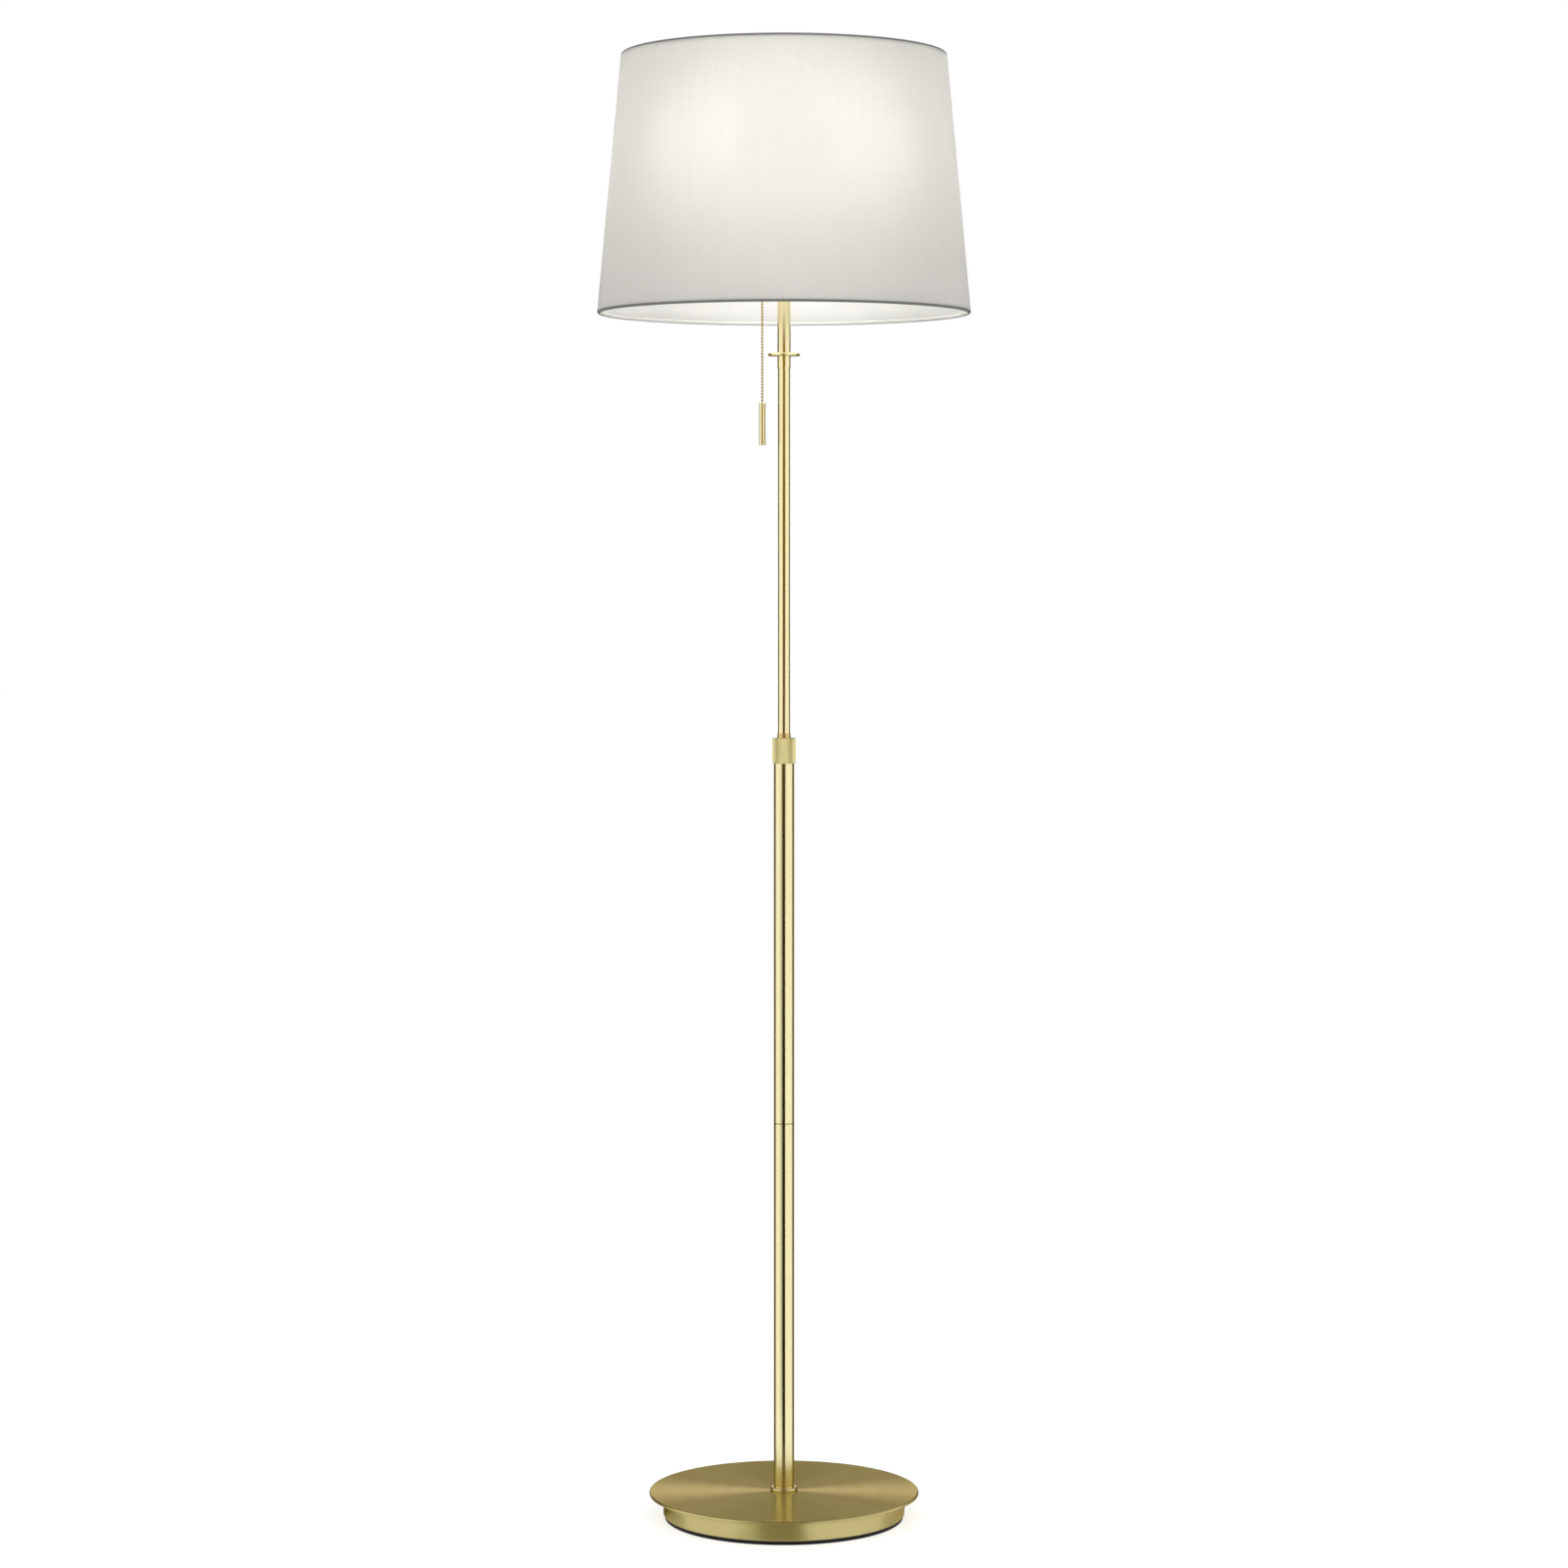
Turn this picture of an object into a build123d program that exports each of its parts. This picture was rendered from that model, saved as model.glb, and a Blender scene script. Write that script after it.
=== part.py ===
"""Height-adjustable floor lamp with a tapered drum shade, a pull-chain switch and a weighted round base.

Millimetres, +Z up. The origin is the centre of the underside of the base pad, on the floor.
-Y is the front, +X is the right-hand side seen from the front. The lamp is modelled at its set height.
"""

from build123d import *
import math
import os

# Height the lamp is set to, and how much further its telescope can rise
set_height = 1578.0
raise_travel = 22.0

# Clearances
thread_fit = 0.05
seat_gap = 0.05
slide_fit = 0.06
side_gap = 0.15
free_gap = 0.4

# Base
pad_thickness = 3.2
pad_inset = 1.5
pad_edge_round = 0.8
plate_thickness = 1.2
skirt_radius = 131.0
skirt_height = 21.6
skirt_sheet = 1.2
skirt_lip = 9.0
skirt_flange = 11.0
skirt_edge_round = 1.0
disc_overhang = 15.3
disc_thickness = 3.2
disc_edge_round = 1.3
ballast_thickness = 13.0
ballast_gap = 1.0
ballast_edge_round = 2.0
plate_screw_count = 3
plate_screw_turn = 30.0
plate_screw_circle = 90.0
plate_screw_radius = 2.0
plate_screw_head = 4.0
plate_screw_grip = 8.0
plate_post_wall = 4.5

# Bush in the back of the skirt, where a lead comes in
cord_bush_bore = 3.1
cord_bush_wall = 1.3
cord_bush_rim = 1.6
cord_bush_rim_thickness = 2.0
cord_bush_round = 1.0
cord_bush_length = 8.0
cord_channel_gap = 1.0

# Hollow threaded nipples, their locknuts and the washer under the base
nipple_radius = 5.0
nipple_wall = 1.5
nipple_grip = 12.0
nipple_end = 1.0
locknut_flats = 14.0
locknut_height = 3.5
locknut_chamfer = 0.8
washer_radius = 16.0
washer_thickness = 1.5
washer_room = 2.0

# Lower pole, in two screwed sections
pole_radius = 11.0
pole_wall = 1.0
section_length = 400.0
joint_chamfer = 0.4
flange_wall = 3.75
flange_height = 4.2
flange_floor = 1.6
flange_top_round = 1.9
flange_foot_round = 1.2
foot_plug_length = 16.0
coupler_length = 20.0
coupler_thread_length = 14.0
socket_wall = 0.8
spigot_wall = 0.9

# Upper pole and its stop collar
upper_wall = 1.45
collar_height = 12.0
collar_groove = 0.5
collar_lip = 2.0

# Twist clamp at the top of the lower pole
clamp_guide_length = 60.0
clamp_shoulder_inset = 0.2
clamp_shoulder_height = 1.5
clamp_thread_length = 8.5
clamp_wall = 0.9
taper_depth = 6.0
taper_spread = 0.9
collet_wall = 1.14
collet_lift = 0.6
collet_shoulder_step = 0.3
collet_shoulder_height = 3.0
collet_nose_wall = 0.94
collet_nose_height = 5.2
collet_slot = 0.9
collet_slot_count = 3
knob_wall = 1.5
knob_skirt = 10.4
knob_lip = 3.1
knob_chamfer = 0.7
knurl_count = 72
knurl_depth = 0.4

# Head stem, above the upper pole
stem_wall = 1.95
stem_chamfer = 0.6
stem_below_shade = 58.3
grip_disc_radius = 17.2
grip_disc_thickness = 3.2
grip_disc_rise = 15.0

# Twin lampholder cluster
cluster_rise = 44.0
cluster_wall = 1.5
cup_floor = 2.0
cup_headroom = 6.0
cup_edge_round = 3.0
cover_wall_height = 6.0
cover_top_radius = 9.5
cover_register = 3.0
holder_tilt = 30.0
holder_offset = 18.0
boss_radius = 10.0
boss_depth = 3.6
boss_rise = 0.6

# Lampholder, measured along its own axis from the boss
holder_radius = 19.0
holder_wall = 1.5
holder_cap_base = 9.0
holder_cap_floor = 2.5
holder_cap_shoulder = 14.0
holder_cap_height = 20.0
holder_cap_round = 6.0
holder_shell_height = 32.0
holder_shell_round = 1.2
insert_height = 10.0
insert_seat = 4.0
contact_radius = 4.0
contact_height = 2.5
contact_round = 1.0
screw_sleeve_wall = 0.7
screw_sleeve_height = 26.0

# Bulb
bulb_cap_radius = 13.0
bulb_cap_height = 24.0
bulb_cap_shoulder = 2.0
bulb_thread_gap = 0.4
bulb_tip_radius = 4.5
bulb_tip_height = 3.0
globe_radius = 30.0
globe_rise = 50.0
globe_neck_height = 6.0
globe_wall = 1.2

# Pull switch, chain and handle
chain_offset = 23.3
switch_radius = 8.0
switch_side_gap = 1.2
switch_floor = 2.0
switch_roof = 1.5
switch_headroom = 3.1
switch_travel = 6.0
switch_round = 1.0
switch_neck_radius = 4.0
switch_neck_length = 3.0
bell_wall = 2.0
bell_height = 6.0
bell_flare = 1.5
plunger_radius = 1.1
plunger_head_step = 1.3
plunger_head_height = 2.0
plunger_reach = 10.0
plunger_neck = 3.6
plunger_cone = 1.2
bead_radius = 1.2
bead_gap = 0.9
bead_link_radius = 0.45
clasp_socket_gap = 0.3
clasp_wall = 0.6
clasp_web = 1.2
clasp_mouth = 1.0
handle_radius = 3.5
handle_length = 45.0
handle_below_shade = 94.7
handle_round = 0.5
handle_bore_depth = 5.0

# Shade, its wire frame and what carries it
shade_bottom_radius = 200.0
shade_top_radius = 174.0
shade_height = 276.0
shade_wall = 1.0
ring_wire = 1.3
ring_room = 0.3
hem_wrap = 0.45
hem_proud = 0.25
hem_end_angle = 95.0
spider_recess = 22.0
spider_arm_count = 3
spider_hub_radius = 13.0
spider_hub_thickness = 2.5
shade_rod_radius = 5.0
rod_hub_wall = 1.75
rod_hub_height = 9.0
rod_hub_taper = 2.0
stud_radius = 3.0
stud_length = 12.0
finial_radius = 8.0
finial_height = 13.0
finial_foot = 2.5
finial_waist_radius = 5.6
finial_waist_height = 4.0
finial_edge_round = 0.8
finial_crown_round = 3.0

# Radii that follow from the sizes above
nipple_bore = nipple_radius - nipple_wall
nipple_hole = nipple_radius + thread_fit
upper_radius = nipple_hole + upper_wall
stem_radius = nipple_hole + stem_wall
guide_bore = upper_radius + slide_fit
pole_bore = pole_radius - pole_wall
plug_radius = pole_bore - seat_gap
socket_bore = plug_radius - socket_wall
coupler_bore = socket_bore - thread_fit - spigot_wall
pad_radius = skirt_radius - pad_inset
skirt_inside = skirt_radius - skirt_sheet
flange_inside = skirt_radius - skirt_flange
disc_radius = skirt_radius + disc_overhang
cord_bush_radius = cord_bush_bore + cord_bush_wall
cluster_radius = chain_offset + switch_radius + switch_side_gap + cluster_wall
holder_inside = holder_radius - holder_wall
screw_sleeve_radius = bulb_cap_radius + bulb_thread_gap
sleeve_outside = screw_sleeve_radius + screw_sleeve_wall
hem_radius = ring_wire + ring_room + hem_wrap
stud_hole = stud_radius + side_gap

# Heights that follow from the sizes above
plate_bottom = pad_thickness
skirt_bottom = plate_bottom + plate_thickness
disc_bottom = skirt_bottom + skirt_height
base_top = disc_bottom + disc_thickness
ballast_bottom = disc_bottom - ballast_thickness
cord_height = skirt_bottom + skirt_sheet + cord_bush_radius + free_gap
pole_bottom = base_top + flange_floor
pole_joint = pole_bottom + section_length
pole_top = pole_joint + section_length
clamp_bottom = pole_top - clamp_guide_length
clamp_thread_bottom = pole_top + clamp_shoulder_height
clamp_top = clamp_thread_bottom + clamp_thread_length
collar_top = clamp_bottom - raise_travel - free_gap
collar_bottom = collar_top - collar_height
shade_bottom = set_height - shade_height
stem_bottom = shade_bottom - stem_below_shade
switch_height = (switch_floor + switch_travel + free_gap + plunger_head_height + switch_headroom
                 + switch_roof)
cup_bottom = shade_bottom + cluster_rise
cup_top = cup_bottom + cup_floor + switch_height + cup_headroom + cover_register
cover_slope = math.tan(math.radians(holder_tilt))
cone_foot = cup_top + cover_wall_height
cover_top = cone_foot + (cluster_radius - cover_top_radius) * cover_slope
holder_base = cover_top - (holder_offset - cover_top_radius) * cover_slope
spider_seat = set_height - spider_recess
spider_top = spider_seat + spider_hub_thickness


def turned(outline, rounds=()):
    """Solid of revolution about Z from a closed outline of (radius, height) points.

    rounds holds pairs of a point's place in the outline and the radius that it is rounded to.
    """
    face = make_face(Polyline(*[(r, 0, z) for r, z in outline], close=True))
    for place, radius in rounds:
        r, z = outline[place]
        corner = face.vertices().sort_by_distance((r, 0, z))[0]
        face = fillet(corner, radius)
    return revolve(face, Axis.Z)


def ring(outer, inner, bottom, top):
    """Plain tube or washer about Z."""
    return turned([(inner, bottom), (outer, bottom), (outer, top), (inner, top)])


def rod(radius, bottom, top):
    """Plain round bar about Z."""
    return turned([(0, bottom), (radius, bottom), (radius, top), (0, top)])


def nipple(bottom, top):
    """Hollow threaded tube, plain outside because its thread is too fine to model."""
    return ring(nipple_radius, nipple_bore, bottom, top)


def locknut(bottom):
    """Thin hexagon nut for a nipple, its corners broken on the upper side."""
    blank = extrude(RegularPolygon(locknut_flats / 2, 6, major_radius=False), locknut_height)
    corner = locknut_flats / math.sqrt(3)
    crown = turned([
        (nipple_hole, 0), (corner, 0), (corner, locknut_height - locknut_chamfer),
        (locknut_flats / 2, locknut_height), (nipple_hole, locknut_height),
    ])
    return Pos(0, 0, bottom) * (blank & crown)


def base_parts():
    """Weighted base: pad, closing plate, ballast, skirt and overhanging disc, bolted up by one nipple."""
    pad = turned(
        [(0, 0), (pad_radius, 0), (pad_radius, pad_thickness), (0, pad_thickness)],
        [(1, min(pad_edge_round, pad_thickness / 2))],
    )
    disc_round = min(disc_edge_round, 0.45 * disc_thickness)
    disc = turned([
        (nipple_hole, disc_bottom), (disc_radius, disc_bottom),
        (disc_radius, base_top), (nipple_hole, base_top),
    ], [(1, disc_round), (2, disc_round)])
    skirt = turned([
        (skirt_radius - skirt_lip, skirt_bottom), (skirt_radius, skirt_bottom),
        (skirt_radius, disc_bottom), (flange_inside, disc_bottom),
        (flange_inside, disc_bottom - skirt_sheet), (skirt_inside, disc_bottom - skirt_sheet),
        (skirt_inside, skirt_bottom + skirt_sheet), (skirt_radius - skirt_lip, skirt_bottom + skirt_sheet),
    ], [(1, skirt_edge_round)])

    # The ballast carries the disc on its middle and traps the skirt's flange on its rim.
    ballast_radius = skirt_inside - ballast_gap
    land_radius = flange_inside - free_gap
    pocket_top = ballast_bottom + nipple_end + locknut_height + washer_thickness
    pocket_radius = washer_radius + washer_room
    ballast = turned([
        (nipple_hole + free_gap, pocket_top), (pocket_radius, pocket_top), (pocket_radius, ballast_bottom),
        (ballast_radius, ballast_bottom), (ballast_radius, disc_bottom - skirt_sheet),
        (land_radius, disc_bottom - skirt_sheet), (land_radius, disc_bottom),
        (nipple_hole + free_gap, disc_bottom),
    ], [(3, ballast_edge_round)])

    # The lead runs from the bush in the skirt through a channel in the ballast to the nipple.
    inlet = Pos(0, skirt_radius, cord_height) * Rot(-90, 0, 0)
    bush = turned([
        (cord_bush_bore, -cord_bush_length), (cord_bush_radius, -cord_bush_length),
        (cord_bush_radius, 0), (cord_bush_radius + cord_bush_rim, 0),
        (cord_bush_radius + cord_bush_rim, cord_bush_rim_thickness),
        (cord_bush_bore, cord_bush_rim_thickness),
    ], [(4, min(cord_bush_round, cord_bush_rim_thickness / 2))])
    skirt = skirt - inlet * Cylinder(cord_bush_radius + seat_gap, 4 * skirt_sheet)
    channel_half = cord_bush_radius + cord_channel_gap
    channel = Box(2 * channel_half, skirt_radius, cord_height + channel_half,
                  align=(Align.CENTER, Align.MIN, Align.MIN))
    ballast = ballast - channel

    plate = rod(pad_radius, plate_bottom, skirt_bottom)
    sink = plate_screw_head - plate_screw_radius
    screw_top = ballast_bottom + plate_screw_grip
    screws = []
    for spot in PolarLocations(plate_screw_circle, plate_screw_count, plate_screw_turn):
        screw = spot * turned([
            (0, plate_bottom), (plate_screw_head, plate_bottom), (plate_screw_radius, plate_bottom + sink),
            (plate_screw_radius, screw_top), (0, screw_top),
        ])
        room = spot * turned([
            (0, plate_bottom), (plate_screw_head + seat_gap, plate_bottom),
            (plate_screw_radius + seat_gap, plate_bottom + sink),
            (plate_screw_radius + seat_gap, screw_top + free_gap), (0, screw_top + free_gap),
        ])
        post = spot * rod(plate_screw_radius + plate_post_wall, skirt_bottom, ballast_bottom)
        ballast = ballast + post - room
        plate = plate - room
        screws.append(screw)

    washer_bottom = pocket_top - washer_thickness
    return {
        "base_pad": pad,
        "base_plate": plate,
        "plate_screws": Compound(screws),
        "base_ballast": ballast,
        "base_skirt": skirt,
        "base_disc": disc,
        "cord_inlet_bush": inlet * bush,
        "base_washer": ring(washer_radius, nipple_hole, washer_bottom, pocket_top),
        "base_locknut": locknut(washer_bottom - locknut_height),
        "base_nipple": nipple(ballast_bottom, pole_bottom + nipple_grip),
    }


def lower_pole_parts():
    """The two screwed sections of the fixed pole, the flange at its foot and the fittings in its ends."""
    flange_bore = pole_radius + seat_gap
    flange_radius = flange_bore + flange_wall
    flange_top = base_top + flange_height
    top_round = min(flange_top_round, 0.45 * flange_height)
    foot_round = min(flange_foot_round, 0.45 * flange_height)
    flange = turned([
        (nipple_hole, base_top), (flange_radius, base_top), (flange_radius, flange_top),
        (flange_bore, flange_top), (flange_bore, pole_bottom), (nipple_hole, pole_bottom),
    ], [(1, foot_round), (2, top_round)])

    # The sections' meeting edges are broken, which draws the joint's fine line.
    joint_bevel = min(joint_chamfer, pole_wall / 2)
    lower_section = turned([
        (pole_bore, pole_bottom), (pole_radius, pole_bottom), (pole_radius, pole_joint - joint_bevel),
        (pole_radius - joint_bevel, pole_joint), (pole_bore, pole_joint),
    ])
    upper_section = turned([
        (pole_bore, pole_joint), (pole_radius - joint_bevel, pole_joint),
        (pole_radius, pole_joint + joint_bevel), (pole_radius, pole_top), (pole_bore, pole_top),
    ])
    spigot_low = pole_joint - coupler_thread_length
    spigot = turned([
        (coupler_bore, spigot_low), (socket_bore - thread_fit, spigot_low),
        (socket_bore - thread_fit, pole_joint), (plug_radius, pole_joint),
        (plug_radius, pole_joint + coupler_length), (coupler_bore, pole_joint + coupler_length),
    ])
    return {
        "pole_flange": flange,
        "pole_foot_plug": ring(plug_radius, nipple_hole, pole_bottom, pole_bottom + foot_plug_length),
        "lower_pole": lower_section,
        "pole_socket": ring(plug_radius, socket_bore, pole_joint - coupler_length, pole_joint),
        "pole_spigot": spigot,
        "middle_pole": upper_section,
    }


def clamp_parts():
    """Twist clamp: guide body in the pole's end, split collet round the upper pole, knurled nut over both."""
    taper_small = guide_bore + collet_wall
    taper_large = taper_small + taper_spread
    thread_radius = taper_large + clamp_wall
    shoulder_radius = pole_radius - clamp_shoulder_inset
    taper_bottom = clamp_top - taper_depth
    body = turned([
        (guide_bore, clamp_bottom), (plug_radius, clamp_bottom), (plug_radius, pole_top),
        (shoulder_radius, pole_top), (shoulder_radius, clamp_thread_bottom),
        (thread_radius, clamp_thread_bottom), (thread_radius, clamp_top),
        (taper_large, clamp_top), (taper_small, taper_bottom), (guide_bore, taper_bottom),
    ])

    # The collet sits in the taper, a side gap clear of it, and hangs by its shoulder from the nut's lip.
    collet_bottom = taper_bottom + collet_lift
    collet_foot = taper_small + taper_spread * collet_lift / taper_depth - side_gap
    shoulder_bottom = clamp_top + collet_lift
    shoulder_top = shoulder_bottom + collet_shoulder_height
    lip_bottom = shoulder_top + side_gap
    knob_top = lip_bottom + knob_lip
    nose_radius = guide_bore + collet_nose_wall
    nose_top = knob_top + collet_nose_height
    collet_edge = taper_large - side_gap
    collet = turned([
        (guide_bore, collet_bottom), (collet_foot, collet_bottom), (collet_edge, clamp_top),
        (collet_edge, shoulder_bottom), (taper_large + collet_shoulder_step, shoulder_bottom),
        (taper_large + collet_shoulder_step, shoulder_top), (nose_radius, shoulder_top),
        (nose_radius, knob_top), (upper_radius + free_gap, nose_top), (guide_bore, nose_top),
    ])
    slot = Box(2 * taper_large, collet_slot, shoulder_bottom - collet_bottom,
               align=(Align.MIN, Align.CENTER, Align.MIN))
    for turn in PolarLocations(0, collet_slot_count):
        collet = collet - Pos(0, 0, collet_bottom) * turn * slot

    knob_bottom = pole_top - knob_skirt
    knob_bore = pole_radius + side_gap
    knob_radius = knob_bore + knob_wall
    skirt_top = clamp_thread_bottom + free_gap
    lip_bore = nose_radius + side_gap
    envelope = turned([
        (knob_bore, knob_bottom), (knob_radius - knob_chamfer, knob_bottom),
        (knob_radius, knob_bottom + knob_chamfer), (knob_radius, knob_top - knob_chamfer),
        (knob_radius - knob_chamfer, knob_top), (lip_bore, knob_top), (lip_bore, lip_bottom),
        (thread_radius + thread_fit, lip_bottom), (thread_radius + thread_fit, skirt_top),
        (knob_bore, skirt_top),
    ])
    return {
        "clamp_body": body,
        "clamp_collet": collet,
        "clamp_nut": envelope & knurled_bar(knob_radius, knob_bottom, knob_top),
    }


def knurled_bar(radius, bottom, top):
    """Bar with a straight knurl: V-shaped grooves side by side all round."""
    half_pitch = math.pi / knurl_count
    teeth = []
    for i in range(2 * knurl_count):
        reach = radius - knurl_depth * (i % 2)
        teeth.append((reach * math.cos(i * half_pitch), reach * math.sin(i * half_pitch)))
    return Pos(0, 0, bottom) * extrude(make_face(Polyline(*teeth, close=True)), top - bottom)


def upper_pole_parts():
    """Sliding pole with the stop collar that turns in a groove at its lower end."""
    neck = upper_radius - collar_groove
    pole_end = collar_bottom - collar_lip
    groove_low, groove_high = collar_bottom - slide_fit, collar_top + slide_fit
    pole = turned([
        (nipple_hole, pole_end), (upper_radius, pole_end), (upper_radius, groove_low), (neck, groove_low),
        (neck, groove_high), (upper_radius, groove_high),
        (upper_radius, stem_bottom), (nipple_hole, stem_bottom),
    ])
    collar = ring(coupler_bore - free_gap, neck + slide_fit, collar_bottom, collar_top)
    return {"upper_pole": pole, "stop_collar": collar}


def head_stem_parts():
    """Thicker stem screwed onto the upper pole, with the disc that the head is raised and turned by."""
    stem = turned([
        (nipple_hole, stem_bottom), (stem_radius - stem_chamfer, stem_bottom),
        (stem_radius, stem_bottom + 2 * stem_chamfer), (stem_radius, cup_bottom), (nipple_hole, cup_bottom),
    ])
    disc_low = stem_bottom + grip_disc_rise - grip_disc_thickness / 2
    disc_high = disc_low + grip_disc_thickness
    edge_round = 0.48 * grip_disc_thickness
    grip = turned([
        (stem_radius + seat_gap, disc_low), (grip_disc_radius, disc_low),
        (grip_disc_radius, disc_high), (stem_radius + seat_gap, disc_high),
    ], [(1, edge_round), (2, edge_round)])
    return {
        "head_stem": stem,
        "grip_disc": grip,
        "stem_nipple": nipple(stem_bottom - nipple_grip, stem_bottom + nipple_grip),
    }


def holder_place(side):
    """Where a lampholder stands: its own Z runs out of the boss on that side, -1 left and 1 right."""
    on_cone = Pos(side * holder_offset, 0, holder_base) * Rot(0, side * holder_tilt, 0)
    return on_cone * Pos(0, 0, boss_rise)


def cluster_parts():
    """Round housing that carries both lampholders, the pull switch and the rod for the shade."""
    inside = cluster_radius - cluster_wall
    cup = turned([
        (nipple_hole, cup_bottom), (cluster_radius, cup_bottom), (cluster_radius, cup_top), (inside, cup_top),
        (inside, cup_bottom + cup_floor), (nipple_hole, cup_bottom + cup_floor),
    ], [(1, cup_edge_round)])
    neck_hole = Cylinder(switch_neck_radius + seat_gap, 4 * cup_floor)
    cup = cup - Pos(-chain_offset, 0, cup_bottom) * neck_hole

    wall_drop = cluster_wall / math.cos(math.radians(holder_tilt))
    register = inside - side_gap
    register_inside = register - cluster_wall
    register_low = cup_top - cover_register
    cover = turned([
        (nipple_hole, cover_top), (cover_top_radius, cover_top), (cluster_radius, cone_foot),
        (cluster_radius, cup_top), (register, cup_top), (register, register_low),
        (register_inside, register_low),
        (register_inside, cone_foot - wall_drop + (cluster_radius - register_inside) * cover_slope),
        (cover_top_radius, cover_top - wall_drop), (nipple_hole, cover_top - wall_drop),
    ])
    nuts = []
    for side in (-1, 1):
        cover = cover + holder_place(side) * rod(boss_radius, -boss_depth, 0)
        nuts.append(holder_place(side) * locknut(-boss_depth - locknut_height))
    for side in (-1, 1):
        cover = cover - holder_place(side) * Cylinder(nipple_hole, 4 * boss_depth)
    cover = cover - rod(nipple_hole, cup_bottom, cover_top + boss_depth)
    return {
        "cluster_cup": cup,
        "cluster_cover": cover,
        "cluster_nipple": nipple(cup_bottom - nipple_grip, cover_top + rod_hub_height - nipple_end),
        "cluster_locknut": locknut(cup_bottom + cup_floor),
        "holder_locknuts": Compound(nuts),
    }


def globe_solid(bottom, inset):
    """Pear-shaped bulb: a ball whose tangent runs down into a straight neck, drawn in all round by inset."""
    neck = bulb_cap_radius - inset
    ball = globe_radius - inset
    neck_top = bottom + globe_neck_height
    centre = bottom + globe_rise
    drop = centre - neck_top
    # The tangent from the neck's upper edge touches the ball at this angle from straight down.
    angle = math.acos(ball / math.hypot(neck, drop)) + math.atan2(neck, drop)
    touch = (ball * math.sin(angle), 0, centre - ball * math.cos(angle))
    lower = Polyline((0, 0, centre + ball), (0, 0, bottom), (neck, 0, bottom), (neck, 0, neck_top), touch)
    upper = ThreePointArc(touch, (ball, 0, centre), (0, 0, centre + ball))
    return revolve(make_face([*lower.edges(), upper]), Axis.Z)


def lampholder_parts(side, word):
    """One lampholder with its bulb, built along its own axis and then set on its boss."""
    cap = turned([
        (nipple_hole, 0), (holder_cap_base, 0), (holder_radius, holder_cap_shoulder),
        (holder_radius, holder_cap_height), (holder_inside, holder_cap_height),
        (holder_inside, holder_cap_shoulder), (holder_cap_base, holder_cap_floor),
        (nipple_hole, holder_cap_floor),
    ],[(2, holder_cap_round), (5, holder_cap_round - holder_wall)])

    insert_bottom = holder_cap_height - insert_seat
    insert_top = insert_bottom + insert_height
    contact_top = insert_top + contact_height
    insert = turned([
        (0, insert_bottom), (holder_inside - side_gap, insert_bottom), (holder_inside - side_gap, insert_top),
        (contact_radius, insert_top), (contact_radius, contact_top), (0, contact_top),
    ], [(4, contact_round)])
    sleeve = ring(sleeve_outside, screw_sleeve_radius, insert_top, insert_top + screw_sleeve_height)
    shell_top = holder_cap_height + holder_shell_height
    lip_bore = sleeve_outside + side_gap
    shell = turned([
        (holder_inside, holder_cap_height), (holder_radius, holder_cap_height), (holder_radius, shell_top),
        (lip_bore, shell_top), (lip_bore, shell_top - holder_wall), (holder_inside, shell_top - holder_wall),
    ], [(2, holder_shell_round)])

    tip_bottom = contact_top + seat_gap
    cap_bottom = tip_bottom + bulb_tip_height
    cap_top = cap_bottom + bulb_cap_height
    bulb_cap = turned([
        (0, tip_bottom), (bulb_tip_radius, tip_bottom), (bulb_tip_radius, cap_bottom - bulb_cap_shoulder),
        (bulb_cap_radius, cap_bottom + bulb_cap_shoulder), (bulb_cap_radius, cap_top), (0, cap_top),
    ])
    globe = globe_solid(cap_top, 0) - globe_solid(cap_top, globe_wall)
    place = holder_place(side)
    nipple_low = -boss_depth - locknut_height - nipple_end
    return {
        f"{word}_holder_nipple": place * nipple(nipple_low, insert_bottom - nipple_end),
        f"{word}_holder_cap": place * cap,
        f"{word}_holder_insert": place * insert,
        f"{word}_screw_sleeve": place * sleeve,
        f"{word}_holder_shell": place * shell,
        f"{word}_bulb_cap": place * bulb_cap,
        f"{word}_bulb_globe": place * globe,
    }


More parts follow.
